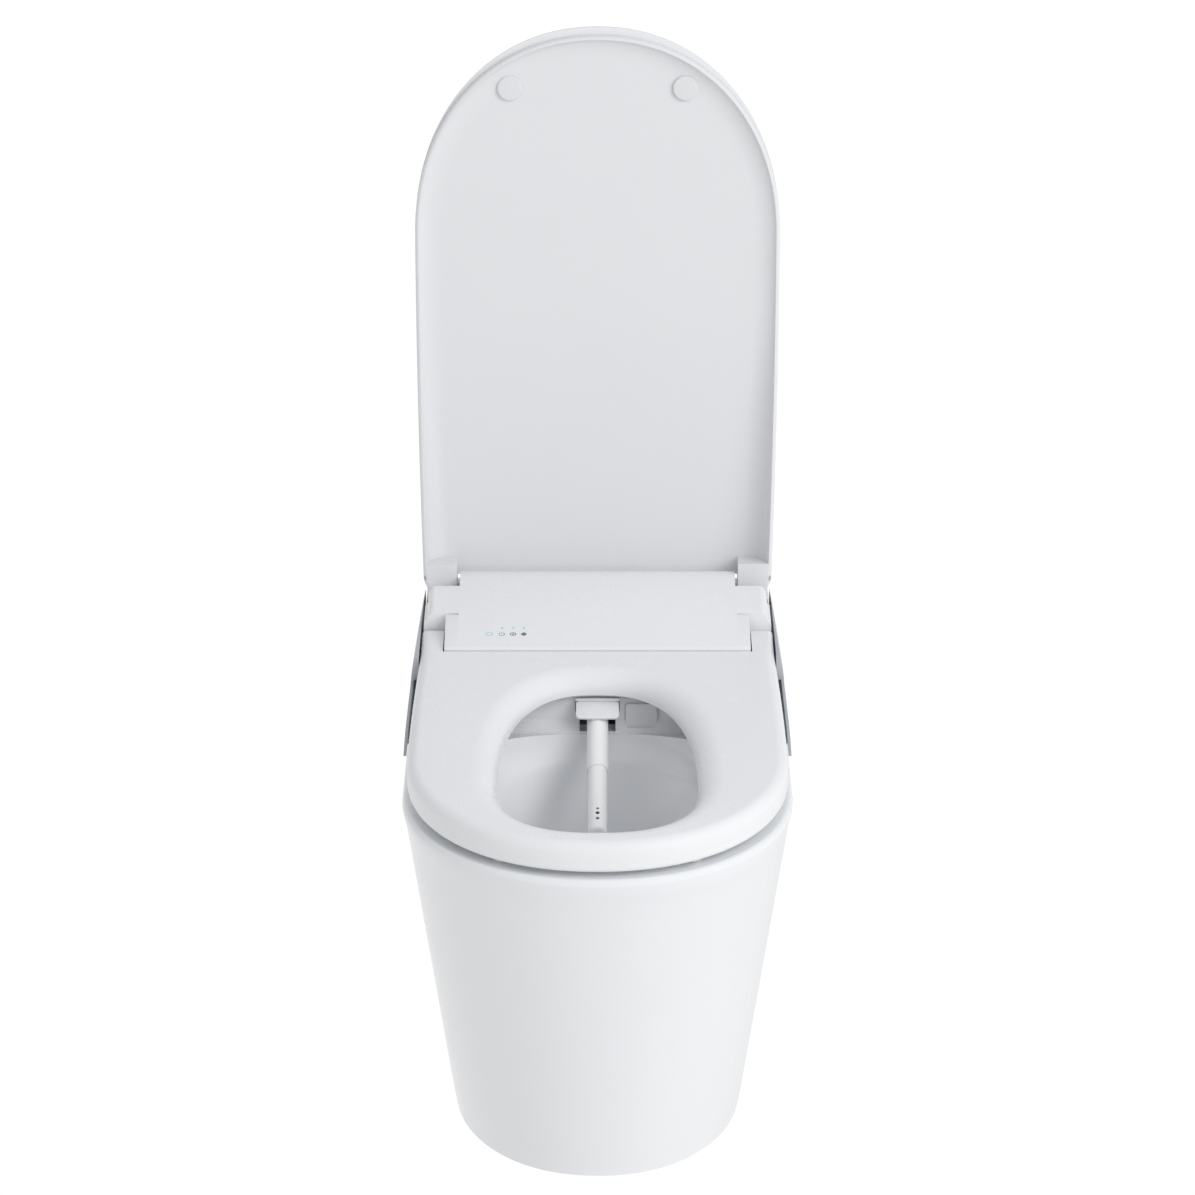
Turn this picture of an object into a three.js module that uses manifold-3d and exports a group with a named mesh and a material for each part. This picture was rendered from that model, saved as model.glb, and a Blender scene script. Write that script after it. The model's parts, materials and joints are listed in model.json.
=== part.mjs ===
// An electric bidet toilet: a skirted ceramic bowl, and on its deck a washing unit with seat and lid.
// Millimetres. X across, Y from the front tip (-) to the flat back (+), Z up, the floor at 0.
import * as THREE from "three";
import { mergeVertices } from "three/addons/utils/BufferGeometryUtils.js";
import Module from "manifold-3d";

const wasm = await Module();
wasm.setup();

// ---- driving dimensions ----
const FRONT = -352.5; // front tip of the seat
const BACK = 357.5; // flat back of the ceramic
const RIM_Z = 384; // top of the ceramic rim
const DECK_Z = 350; // rear deck that carries the washing unit
const CURB_Z = 365; // low curb between basin and deck
const CURB = [52, 69]; // its front and back
const SLOPE_FRONT = -24; // where that slope leaves the rim
const WALL = 12; // ceramic thickness
const RISE = 0.03; // the seat climbs this much per mm towards the back
const GAP = 0.3; // between pieces that touch
const WALL_Y = 62; // front face of the washing unit, over the basin

// Half plan of seat, rim and lid: a superellipse nose that runs into a gentle taper.
const SEAT = { tip: FRONT, half: 193.75, length: 212, power: 2.11, taper: 0.08, back: 110.5, corner: 16 };
const RIM = { tip: -BACK, half: 199, length: 217, power: 2.11, taper: 0.039, back: BACK, corner: 18 };
const FOOT = { tip: FRONT + 102, half: 150.5, length: 198, power: 2.1, taper: 0.012, back: BACK, corner: 18 };
const OPENING = { near: FRONT + 46, wide: FRONT + 168, far: FRONT + 402, half: 101.5, power: 2.5 };
const FUNNEL = 26; // width of the rolled edge round the seat opening

const SEAT_AXIS = { y: 162.5, z: 421 };
const LID_AXIS = { y: 264.7, z: 451.7 };
const LEAN = THREE.MathUtils.degToRad(6); // how far the open lid leans back
const LID_FOOT = { y: 255.5, z: 452.5 }; // a point of the open lid's lip plane
const LID_TIP = 602.5; // from that point to the tip of the lip
const LID_OVERHANG = 8; // the outer shell passes the lip by this at the tip
const LID_THICK = { tip: 26, hinge: 38 };
const DISH = { tip: 9, hinge: 32, start: 290, end: 20 }; // recess of the lid's inside
const EAR = { inner: 153, outer: 190, high: 25 }; // the lid's ears: across, and up from the hinge

const COVER = {
  front: 113, rear: 258, zFront: 438, zRear: 464.5, half: 163, shoulder: 176, side: 187, barrel: 13.5,
};
const STRAP = { inner: 164.5, outer: 188.5, rear: 178, crest: 15.45 }; // the seat's straps round its hinge
const WAND_TILT = THREE.MathUtils.degToRad(20);
const WAND_TOP = { y: 22.5, z: 383 }; // a point of the outer tube's top line
const TUBE_R = 11.2;
const NOZZLE_R = 10;

const NOSE_STEPS = 11;
const SIDE_STEPS = 5;
const CORNER_STEPS = 3;

// ---- materials ----
const mat = (color, roughness, metalness = 0) => new THREE.MeshStandardMaterial({ color, roughness, metalness });
const CERAMIC = mat(0xeceef0, 0.08);
const WHITE = mat(0xe9ebee, 0.28);
const LINER = mat(0xdbdce0, 0.35);
const SILVER = mat(0xa9adb4, 0.35, 0.6);
const GREY = mat(0x8f9399, 0.5);
const DARK = mat(0x303236, 0.6);
const GREEN = mat(0x2f6b45, 0.55);
const STEEL = mat(0xb9bcc0, 0.3, 1);
const BRASS = mat(0xc3a15a, 0.35, 1);
const RUBBER = mat(0xd4d6da, 0.7);
const GLOW = mat(0x37c98b, 0.4);

// ---- solids ----
// A three.js geometry as a solid, its shared corners merged.
function solid(geometry) {
  const bare = geometry.index ? geometry.toNonIndexed() : geometry.clone();
  bare.deleteAttribute("normal");
  bare.deleteAttribute("uv");
  const merged = mergeVertices(bare, 1e-4);
  const vertProperties = new Float32Array(merged.attributes.position.array);
  const triVerts = new Uint32Array(merged.index.array);
  return new wasm.Manifold(new wasm.Mesh({ numProp: 3, vertProperties, triVerts }));
}

const join = (first, ...rest) => rest.reduce((a, b) => a.add(b), first);
const cut = (first, ...rest) => rest.reduce((a, b) => a.subtract(b), first);

function box(x0, x1, y0, y1, z0, z1) {
  const g = new THREE.BoxGeometry(x1 - x0, y1 - y0, z1 - z0);
  return solid(g.translate((x0 + x1) / 2, (y0 + y1) / 2, (z0 + z1) / 2));
}

// A round bar from one point to another.
function bar(from, to, r, sides = 16, r2 = r) {
  const a = new THREE.Vector3(...from);
  const b = new THREE.Vector3(...to);
  const g = new THREE.CylinderGeometry(r2, r, a.distanceTo(b), sides);
  const along = b.clone().sub(a).normalize();
  g.applyQuaternion(new THREE.Quaternion().setFromUnitVectors(new THREE.Vector3(0, 1, 0), along));
  return solid(g.translate((a.x + b.x) / 2, (a.y + b.y) / 2, (a.z + b.z) / 2));
}

// A tube from one point to another, open at both ends.
function tube(from, to, r, bore, sides = 16) {
  const along = (f) => from.map((v, i) => v + (to[i] - v) * f);
  return cut(bar(from, to, r, sides), bar(along(-0.1), along(1.1), bore, sides));
}

// An outline of [y, z] points pushed along X.
function rib(points, x0, x1) {
  const shape = new THREE.Shape(points.map(([y, z]) => new THREE.Vector2(y, z)));
  const g = new THREE.ExtrudeGeometry(shape, { depth: x1 - x0, bevelEnabled: false });
  const turn = new THREE.Matrix4().makeBasis(
    new THREE.Vector3(0, 1, 0), new THREE.Vector3(0, 0, 1), new THREE.Vector3(1, 0, 0));
  return solid(g.applyMatrix4(turn).translate(x0, 0, 0));
}

// Closed outlines of equal length, one above the other, skinned into one body.
function loft(layers) {
  const count = layers[0].length;
  const position = layers.flat(2);
  const index = [];
  for (let k = 0; k < layers.length - 1; k++)
    for (let i = 0; i < count; i++) {
      const a = k * count + i;
      const b = k * count + ((i + 1) % count);
      index.push(a, b, b + count, a, b + count, a + count);
    }
  const range = (layer, k) => Math.max(...layer.map((p) => p[k])) - Math.min(...layer.map((p) => p[k]));
  const cap = (layer, base, below) => {
    const k = range(layer, 1) > range(layer, 2) ? 1 : 2;
    const outline = layer.map((p) => new THREE.Vector2(p[0], p[k]));
    const flip = THREE.ShapeUtils.area(outline) < 0 !== below;
    for (const [a, b, c] of THREE.ShapeUtils.triangulateShape(outline, []))
      index.push(...(flip ? [base + a, base + c, base + b] : [base + a, base + b, base + c]));
  };
  cap(layers[0], 0, true);
  cap(layers[layers.length - 1], (layers.length - 1) * count, false);
  const g = new THREE.BufferGeometry();
  g.setAttribute("position", new THREE.Float32BufferAttribute(position, 3));
  g.setIndex(index);
  if (signedVolume(g) < 0) {
    for (let i = 0; i < index.length; i += 3) [index[i + 1], index[i + 2]] = [index[i + 2], index[i + 1]];
    g.setIndex(index);
  }
  return solid(g);
}

function signedVolume(g) {
  const p = g.attributes.position;
  const at = (i) => new THREE.Vector3().fromBufferAttribute(p, g.index.getX(i));
  let v = 0;
  for (let i = 0; i < g.index.count; i += 3) v += at(i).dot(at(i + 1).cross(at(i + 2)));
  return v;
}

// ---- plans ----
// The closed plan of a nose-and-taper outline, moved outwards by offset, from the tip round by the right.
function plan(shape, offset = 0) {
  const { tip, half, length, power, taper, back, corner } = shape;
  const right = [];
  for (let i = 0; i <= NOSE_STEPS; i++) {
    const t = ((i / NOSE_STEPS) * Math.PI) / 2;
    const across = Math.sin(t) ** (2 / power);
    const along = Math.cos(t) ** (2 / power);
    const nx = across ** (power - 1) / half;
    const ny = along ** (power - 1) / length;
    const s = offset / Math.hypot(nx, ny);
    right.push([half * across + nx * s, tip + length * (1 - along) - ny * s]);
  }
  const widest = tip + length;
  const end = back - corner;
  const width = (y) => half - (taper * (y - widest) ** 2) / 1000;
  for (let i = 1; i <= SIDE_STEPS; i++) {
    const y = widest + ((end - widest) * i) / SIDE_STEPS;
    right.push([width(y) + offset, y]);
  }
  for (let i = 1; i <= CORNER_STEPS; i++) {
    const a = ((i / CORNER_STEPS) * Math.PI) / 2;
    right.push([width(end) - corner + (corner + offset) * Math.cos(a), end + (corner + offset) * Math.sin(a)]);
  }
  return [...right, ...right.slice(1).reverse().map(([x, y]) => [-x, y])];
}

// An egg: half a superellipse before its widest line and half behind it.
function egg({ near, wide, far, half, power }, offset = 0, steps = 12) {
  const points = [];
  for (let i = 0; i < 4 * steps; i++) {
    const t = (i / (4 * steps)) * 2 * Math.PI;
    const reach = Math.cos(t) > 0 ? wide - near : far - wide;
    const across = Math.abs(Math.sin(t)) ** (2 / power);
    const along = Math.abs(Math.cos(t)) ** (2 / power);
    const nx = across ** (power - 1) / half;
    const ny = along ** (power - 1) / reach;
    const s = offset / Math.hypot(nx, ny);
    const sx = Math.sin(t) < 0 ? -1 : 1;
    const sy = Math.cos(t) > 0 ? -1 : 1;
    points.push([sx * (half * across + nx * s), wide + sy * (reach * along + ny * s)]);
  }
  return points;
}

const level = (outline, z) => outline.map(([x, y]) => [x, y, z]);
const climbing = (outline, z) => outline.map(([x, y]) => [x, y, z + RISE * (y - FRONT)]);
const between = (a, b, f) => a.map(([x, y], i) => [x + (b[i][0] - x) * f, y + (b[i][1] - y) * f]);

// ---- the ceramic ----
const EDGE = 6; // rounding of the rim's outer edge
// Outer skin, moved in by inset, between two heights.
function skirt(inset, z0, z1, rounded) {
  const layers = [];
  const foot = plan(FOOT, -inset);
  const rim = plan(RIM, -inset);
  const at = (z) => between(foot, rim, z / RIM_Z);
  for (const z of [z0, 90, 180, 270, 340]) layers.push(level(at(z), z));
  layers.push(level(rim, z1 - (rounded ? EDGE : 0)));
  if (rounded) {
    layers.push(level(plan(RIM, -0.3 * EDGE), z1 - 0.3 * EDGE));
    layers.push(level(plan(RIM, -EDGE), z1));
  }
  return loft(layers);
}

// The basin: heights with the egg's near, widest and far lines, and its half-width.
const BASIN = [
  [RIM_Z + 2, -310, -130, 56, 140, 2.4],
  [RIM_Z - 12, -306, -130, 52, 136, 2.4],
  [346, -298, -128, 47, 128, 2.4],
  [334, -286, -126, 40, 116, 2.3],
  [300, -268, -116, 30, 103, 2.2],
  [250, -236, -100, 14, 82, 2.1],
  [200, -190, -80, -12, 58, 2],
  [160, -140, -72, -30, 42, 2],
];
function basin(grow, drop) {
  const ring = ([z, near, wide, far, half, power], i) =>
    level(egg({ near, wide, far, half, power }, grow, 9), i ? z - drop : z);
  return loft(BASIN.map(ring));
}

const WATER_WAY = 40; // radius of the waste way
// The water way from the basin's foot, over the weir, and down to the outlet.
const TRAP = [[-84, 176], [-60, 140], [10, 128], [70, 160], [112, 215], [160, 238], [205, 205], [222, 150],
  [222, -2]];
function trap(r) {
  const pieces = [];
  for (let i = 0; i < TRAP.length - 1; i++) {
    pieces.push(bar([0, ...TRAP[i]], [0, ...TRAP[i + 1]], r, 8));
    if (i) pieces.push(solid(new THREE.SphereGeometry(r * 1.02, 8, 6).translate(0, ...TRAP[i])));
  }
  return join(...pieces);
}

// The casting in three solids: shell with rim and deck, basin, and waste way.
function ceramic() {
  const outer = skirt(0, 0, RIM_Z, true);
  const deck = rib([[SLOPE_FRONT, RIM_Z + 9], [SLOPE_FRONT, RIM_Z], [CURB[0], CURB_Z], [CURB[1], CURB_Z],
    [CURB[1], DECK_Z], [BACK + 9, DECK_Z], [BACK + 9, RIM_Z + 9]], -230, 230);
  const under = (drop) => rib([[-360, RIM_Z - WALL - drop], [SLOPE_FRONT, RIM_Z - WALL - drop],
    [CURB[0], DECK_Z - WALL - drop], [400, DECK_Z - WALL - drop], [400, -9], [-360, -9]], -230, 230);
  const inner = skirt(WALL, -3, RIM_Z - 1, false);
  const backDoor = box(-95, 95, BACK - 40, BACK + 9, -9, 190);
  const tankHole = box(-120, 120, BACK - 100, BACK - 24, DECK_Z - 20, DECK_Z + 9);
  const studHoles = [-1, 1].map((side) => bar([side * 75, 128, 320], [side * 75, 128, 360], 6, 10));
  const shell = cut(outer, deck, inner.intersect(under(0)), backDoor, tankHole, basin(0, 0), ...studHoles);
  const cup = cut(basin(WALL, WALL).intersect(inner).intersect(under(GAP)), basin(0, 0), trap(WATER_WAY));
  const pipe = cut(trap(WATER_WAY + WALL), basin(WALL + GAP, WALL + GAP), box(-90, 90, 100, 300, -90, 0));
  return [shell, cup, cut(pipe, trap(WATER_WAY))].map(largest);
}

const largest = (s) => s.decompose().sort((a, b) => b.volume() - a.volume())[0];

// ---- side panels of the washing unit ----
function sidePanel(side) {
  const lower = [[-52, RIM_Z + 0.6], [SLOPE_FRONT, RIM_Z + 0.6], [CURB[0] + 1, CURB_Z + 0.8],
    [CURB[1] + 1, CURB_Z + 0.8], [CURB[1] + 4, DECK_Z + 0.8], [344, DECK_Z + 0.8]];
  const upper = [[344, 404], [330, 420], [296, 428], [236, 429], [120, 433], [108, 430], [104, 400],
    [-10, 394], [-34, 388.5]];
  const profile = rib([...lower, ...upper], 120, 230);
  const skin = (inset) => loft([
    level(plan({ ...RIM, half: 201.5 - inset, tip: FRONT - 8 + inset, taper: 0.03 }, 0), DECK_Z - 4),
    level(plan({ ...RIM, half: 201.5 - inset, tip: FRONT - 8 + inset, taper: 0.03 }, 0), 385),
    level(plan({ ...RIM, half: 200 - inset, tip: FRONT - 8 + inset, taper: 0.04 }, 0), 415),
    level(plan({ ...RIM, half: 195.5 - inset, tip: FRONT - 8 + inset, taper: 0.045 }, 0), 436),
  ]);
  const room = skin(3.2).intersect(box(-300, 300, -400, 400, 300, 405));
  const shell = cut(skin(0).intersect(profile), room, box(0, STRAP.outer + 1.5, 60, 400, 300, 500));
  const stiffener = box(184.4, 192, 180, 184, DECK_Z + 3, 400).intersect(profile);
  const made = largest(join(shell, stiffener));
  return side > 0 ? made : made.mirror([1, 0, 0]);
}

// ---- seat ----
const SEAT_SPLIT = 401; // joint line between the seat's two halves, at the front tip
const SEAT_TOP = 421;
const SEAT_LOW = 390;

const seatPlan = (offset) => plan(SEAT, offset);
function seatOuter() {
  const layers = [[-4, SEAT_LOW], [-0.8, SEAT_LOW + 2.2], [0, SEAT_LOW + 6], [0, SEAT_TOP - 12],
    [-2, SEAT_TOP - 6], [-5.5, SEAT_TOP - 2], [-12, SEAT_TOP]];
  return rows(seatPlan, layers);
}
function seatHole(grow = 0) {
  const layers = [[0, SEAT_LOW - 9], [0, SEAT_TOP - 19], [2.5, SEAT_TOP - 12.5], [8, SEAT_TOP - 6],
    [16, SEAT_TOP - 1.8], [FUNNEL, SEAT_TOP], [FUNNEL, SEAT_TOP + 40]];
  return rows((offset) => egg(OPENING, offset + grow, 9), layers);
}
// All that lies above a sloping plane.
const climb = (z, y) => z + RISE * (y - FRONT);
const above = (z) => rib([[-400, climb(z, -400)], [400, climb(z, 400)], [400, 700], [-400, 700]], -250, 250);
const rows = (outline, layers) => loft(layers.map(([offset, z]) => climbing(outline(offset), z)));

function seatEar(side) {
  const r = STRAP.crest;
  const { y, z } = SEAT_AXIS;
  const arm = [[80, 408], [y, z - r + 1], [y, z + r], [80, climb(SEAT_TOP, 80)]];
  const ear = join(
    rib(arm, STRAP.inner, STRAP.outer),
    bar([STRAP.inner, y, z], [STRAP.outer, y, z], r, 24),
  );
  const bore = bar([150, y, z], [179, y, z], 5.3, 12);
  const made = cut(ear, bore);
  return side > 0 ? made : made.mirror([1, 0, 0]);
}

// Under the rear bridge of the seat the washing unit's hood needs room.
const hoodRoom = () =>
  join(
    box(-158, 158, WALL_Y - 6, 125, 380, 409),
    box(-WAND_ROOM - 4, WAND_ROOM + 4, WALL_Y - 6, 125, 380, 418),
  );

function seatShell() {
  const body = cut(seatOuter(), seatHole(), cut(box(-250, 250, -400, 400, 300, 520), above(SEAT_SPLIT)));
  const hollow = [[-5, SEAT_SPLIT - 2], [-5, SEAT_TOP - 12], [-11, SEAT_TOP - 5]];
  const pocket = cut(rows(seatPlan, hollow), seatHole(5));
  return largest(join(cut(body, pocket, hoodRoom()), seatEar(1), seatEar(-1)));
}
function seatBase() {
  const body = cut(seatOuter(), seatHole(), above(SEAT_SPLIT - GAP));
  const lip = cut(rows(seatPlan, [[-5.5, SEAT_SPLIT - 1], [-5.5, SEAT_SPLIT + 4]]), seatHole(5.5),
    rows(seatPlan, [[-9, SEAT_SPLIT - 0.6], [-9, SEAT_SPLIT + 9]]));
  const earRoom = box(STRAP.inner - 0.4, STRAP.outer + 9, 79.6, 130, 406, 450);
  return largest(cut(join(body, lip), hoodRoom(), earRoom, earRoom.mirror([1, 0, 0])));
}
function seatHeater() {
  const z = SEAT_TOP - 9;
  const outline = (offset) => plan({ ...SEAT, back: SEAT.back - 8, corner: 34 }, offset);
  const sheet = rows(outline, [[-20, z], [-20, z + 1.6]]);
  const hole = rows((offset) => egg(OPENING, offset, 9), [[14, z - 4], [14, z + 8]]);
  return cut(sheet, hole);
}

// ---- lid, drawn in its own frame: x across, y from the lip plane to the back, z from hinge to tip ----
const lidThick = (s) => LID_THICK.hinge + ((LID_THICK.tip - LID_THICK.hinge) * s) / LID_TIP;
function dishDepth(s) {
  const f = THREE.MathUtils.clamp((DISH.start - s) / (DISH.start - DISH.end), 0, 1);
  return DISH.tip + (DISH.hinge - DISH.tip) * f;
}
const LID = { tip: -LID_TIP, half: 195, length: 213.4, power: 2.11, taper: 0.039, back: 13, corner: 24 };

// The lid's plan at a depth, with extra length at the tip.
function lidLayer(offset, depth, tipShift = 0) {
  const shape = { ...LID, tip: LID.tip - tipShift, length: LID.length + tipShift };
  return plan(shape, offset).map(([x, y]) => [x, depth(-y), -y]);
}
function lidBody(depths) {
  return loft(depths.map(([offset, depth, shift]) => lidLayer(offset, depth, shift)));
}
// Everything between the lip plane and the dish floor, plus more.
function dishRoom(more, x) {
  const rows = [[-40, DISH.hinge], [DISH.end, DISH.hinge], [DISH.start, DISH.tip], [700, DISH.tip]];
  return rib([[-60, -40], ...rows.map(([s, d]) => [d + more, s]), [-60, 700]], -x, x);
}
const cutEnd = () => box(-EAR.inner, EAR.inner, -40, 90, -60, 5);
const LIP = 5;
const LINER_THICK = 3;

function lidShell() {
  const t = (f) => (s) => f * lidThick(s);
  const skin = [[0, t(0.72)], [-2, t(0.88)], [-6, t(0.96)], [-13, t(1)]].map((row) => [...row, LID_OVERHANG]);
  const body = lidBody([[0, () => 8, 0.01], [0, () => 9, LID_OVERHANG], ...skin]);
  const inside = dishRoom(LINER_THICK + GAP, 240);
  return largest(cut(body, inside, cutEnd()));
}
function lidLiner() {
  const edge = [[-3, () => 0], [-0.8, () => 1.6], [0, () => 4], [0, () => 60]];
  const body = lidBody(edge).intersect(dishRoom(LINER_THICK, 240));
  const wall = (offset, depth) => plan({ ...LID, back: 60 }, offset).map(([x, y]) => [x, depth, -y]);
  const dish = loft([wall(-LIP + 1, -3), wall(-LIP, 0), wall(-LIP - 5, 36)]).intersect(dishRoom(0, 240));
  return largest(cut(body, dish, cutEnd(), box(-EAR.inner, EAR.inner, -40, DISH.hinge, -60, 12)));
}

// ---- placing and naming ----
const scene = new THREE.Group();
const lidGroup = new THREE.Group();
lidGroup.position.set(0, LID_FOOT.y, LID_FOOT.z);
lidGroup.rotation.x = -LEAN;
const wandGroup = new THREE.Group();
wandGroup.position.set(0, WAND_TOP.y, WAND_TOP.z);
wandGroup.rotation.x = WAND_TILT;
scene.add(lidGroup, wandGroup);

function place(name, made, material, group = scene) {
  const m = made.getMesh();
  const points = new Float32Array(m.numVert * 3);
  for (let i = 0; i < m.numVert; i++) {
    points.set(m.vertProperties.subarray(i * m.numProp, i * m.numProp + 3), i * 3);
  }
  const indexed = new THREE.BufferGeometry();
  indexed.setAttribute("position", new THREE.BufferAttribute(points, 3));
  indexed.setIndex(new THREE.BufferAttribute(new Uint32Array(m.triVerts), 1));
  const geometry = indexed.toNonIndexed();
  geometry.computeVertexNormals();
  const mesh = new THREE.Mesh(geometry, material);
  mesh.name = name;
  group.add(mesh);
}
const both = (make) => [["left", -1], ["right", 1]].forEach(([name, side]) => make(name, side));

// ---- bowl and side panels ----
const [bowlShell, bowlBasin, bowlTrap] = ceramic();
place("ceramic_bowl", bowlShell, CERAMIC);
place("ceramic_basin", bowlBasin, CERAMIC);
place("ceramic_trapway", bowlTrap, CERAMIC);
both((name, side) => place(`side_panel_${name}`, sidePanel(side), SILVER));

// ---- washing unit: tray, hood, covers ----
const TRAY_Z = DECK_Z + 5;
const STEEL_T = 1.8;
function mountingPlate() {
  const plate = box(-120, 120, 100, 236, DECK_Z + 0.4, DECK_Z + 0.4 + STEEL_T);
  const holes = [-1, 1].map((side) => bar([side * 75, 128, 340], [side * 75, 128, 360], 6, 10));
  return cut(plate, ...holes);
}
// The tray's plan narrows beside the seat's ears and again beside the lid's: half-width, front and back.
const TRAY_FRONT = CURB[1] + 2;
const TRAY = [
  [170, TRAY_FRONT, 100], [158, TRAY_FRONT, 243], [174, 180, 243], [149.5, TRAY_FRONT, 345], [174, 305, 345],
];
const trayBlock = (inset, z0, z1) =>
  join(...TRAY.map(([x, y0, y1]) => box(inset - x, x - inset, y0 + inset, y1 - inset, z0, z1)));
// Holes in the back walls for the water inlet and the power cord's gland.
const ENTRY = { x: 150, z: 380, water: 8, power: 9 };
const entries = () => [
  bar([-ENTRY.x, 320, ENTRY.z], [-ENTRY.x, 370, ENTRY.z], ENTRY.water + 0.6, 12),
  bar([ENTRY.x, 320, ENTRY.z], [ENTRY.x, 370, ENTRY.z], ENTRY.power + 0.6, 12),
];
function baseTray() {
  const wall = 3;
  const body = trayBlock(0, TRAY_Z - 2, 397);
  const room = trayBlock(wall, TRAY_Z + 1, 500);
  const window = box(-150, 150, WALL_Y, TRAY_FRONT + 7, TRAY_Z + 12, 420);
  const studs = [-1, 1].map((side) => bar([side * 75, 128, 340], [side * 75, 128, 370], 6, 10));
  return largest(cut(body, room, window, ...entries(), ...studs));
}

// Hood over the nozzle bay, with the front wall that faces the basin.
const BAY = [19, 23.4]; // half-width of the nozzle bay, below and behind the shutter
const HOOD_TOP = 404;
const WAND_ROOM = 18.5; // half-width of the passage that the wand needs
const DRYER_X = [29, 64];
function frontHood() {
  const front = WALL_Y - 9;
  const back = WALL_Y + 9;
  const face = box(-154, 154, WALL_Y, WALL_Y + 3, CURB_Z + 1, HOOD_TOP);
  const wall = join(face, box(-154, 154, WALL_Y, 109, HOOD_TOP - 3, HOOD_TOP));
  const bay = join(
    box(-BAY[0], BAY[0], front, back, 350, 388),
    box(-BAY[1], BAY[1], front, back, 386, HOOD_TOP - 3.5),
  );
  const passage = box(-WAND_ROOM, WAND_ROOM, WALL_Y + 1, 120, 350, HOOD_TOP + 9);
  const outlet = box(DRYER_X[0] + 2, DRYER_X[1] - 2, front, back, 370, 392);
  const breather = [0, 1, 2, 3, 4].map((i) => box(-140, -96, front, back, 370 + 5 * i, 372.5 + 5 * i));
  return cut(wall, bay, passage, outlet, ...breather);
}

function coverBlock(inset, z0) {
  const { front, rear, zFront, zRear, half } = COVER;
  const slope = (zRear - zFront) / (rear - front);
  const at = (y) => zFront + slope * (y - front) - inset;
  const back = [];
  for (let i = 0; i <= 4; i++) {
    const a = THREE.MathUtils.degToRad(78 - i * 24);
    const r = COVER.barrel - inset;
    back.push([LID_AXIS.y + r * Math.cos(a), LID_AXIS.z + r * Math.sin(a)]);
  }
  const edge = [[front + inset, z0], [front + inset, at(front) - 2], [front + inset + 2, at(front)]];
  const neck = EAR.inner - 3.5 - inset;
  const mid = rib([...edge, [rear - 4, at(rear - 4)], ...back, [back.at(-1)[0], z0]], -neck, neck);
  const wide = rib([...edge, [STRAP.rear, at(STRAP.rear)], [STRAP.rear, z0]], -half + inset, half - inset);
  const side = COVER.side - inset;
  const shoulder = (y) => {
    const top = [[COVER.shoulder, at(y)], [side - 7, at(y) - 1.5], [side - 5.5, at(y) - 5]];
    const right = [...top, [side - 3.4, 440 - inset], [side, 437.5 - inset], [side, z0]];
    return [...right, ...right.map(([x, z]) => [-x, z]).reverse()].map(([x, z]) => [x, y, z]);
  };
  return join(mid, wide, loft([shoulder(STRAP.rear + 4 + inset), shoulder(236 - inset)]));
}
function topCover() {
  const sideHoles = bar([-200, SEAT_AXIS.y, SEAT_AXIS.z], [200, SEAT_AXIS.y, SEAT_AXIS.z], 5.3, 12);
  const lidHoles = bar([-200, LID_AXIS.y, LID_AXIS.z], [200, LID_AXIS.y, LID_AXIS.z], 5.3, 12);
  const keys = [0, 1, 2, 3].map((i) => bar([ICON_X[i], ICON_Y, 430], [ICON_X[i], ICON_Y, 470], 4.2, 10));
  const passage = box(-WAND_ROOM, WAND_ROOM, 104, 120, 390, 428);
  return largest(cut(coverBlock(0, 397.5), coverBlock(3, 390), sideHoles, lidHoles, passage, ...keys));
}

function rearCover() {
  const outside = [[279.5, 397.4], [279.5, 428], [282, 430], [338, 430], [348, 424], [352, 410], [352, 353]];
  const inside = [[349, 353], [349, 408], [344, 422], [336, 427], [283, 427], [283, 397.4]];
  const profile = [
    [309, 397.4], [309, 428], [338, 428], [348, 420], [350, 405], [350, 353], [346.5, 353], [346.5, 397.4],
  ];
  const end = rib(profile, COVER.side - 3, COVER.side);
  const skin = rib([...outside, ...inside], -COVER.side, COVER.side);
  return largest(cut(join(skin, end, end.mirror([1, 0, 0])), ...entries()));
}

// ---- control keys on the cover: a round lens each ----
const ICON_Y = 140;
const ICON_X = [-115.4, -102.2, -90.2, -78.7];
const COVER_SLOPE = (COVER.zRear - COVER.zFront) / (COVER.rear - COVER.front);
const keyTop = () => COVER.zFront + COVER_SLOPE * (ICON_Y - COVER.front);

place("mounting_plate", mountingPlate(), STEEL);
place("base_tray", baseTray(), WHITE);
place("front_hood", frontHood(), WHITE);
place("top_cover", topCover(), WHITE);
place("rear_cover", rearCover(), WHITE);
const keyNames = ["light_key", "power_key", "wash_key", "dry_key"];
keyNames.forEach((name, i) => {
  const top = keyTop();
  const pad = bar([ICON_X[i], ICON_Y, top - 7], [ICON_X[i], ICON_Y, top - 0.9], 3.8, 10);
  place(name, pad, i ? LINER : GLOW);
});

// ---- what is inside the unit ----
const FLOOR = TRAY_Z + 1.4;
both((name, side) => {
  const x = side * 75;
  const shank = bar([x, 128, 326], [x, 128, FLOOR + 9], 4, 10);
  const stud = join(shank, bar([x, 128, FLOOR + 0.2], [x, 128, FLOOR + 5], 8, 6));
  place(`fixing_stud_${name}`, stud, BRASS);
});
function heaterTank() {
  const tank = join(box(-144, -62, 150, 214, FLOOR, 400), bar([-103, 182, 396], [-103, 182, 414], 13, 16));
  const port = bar([-62.5, 170, 372], [-52, 170, 372], 5, 10);
  return join(tank, port);
}
place("water_heater", heaterTank(), GREY);
const pumpBody = bar([-40, 200, FLOOR + 17], [12, 200, FLOOR + 17], 16, 16);
const pump = join(pumpBody, box(-46, -39, 186, 214, FLOOR, FLOOR + 34));
place("water_pump", pump, DARK);
const valve = join(box(-140, -100, 246, 273, FLOOR, 386), bar([-120, 260, 385], [-120, 260, 396], 11, 12));
place("solenoid_valve", valve, BRASS);
const transformer = box(66, 92, 250, 280, FLOOR + 1, FLOOR + 28);
const relay = box(102, 126, 252, 278, FLOOR + 1, FLOOR + 20);
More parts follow.
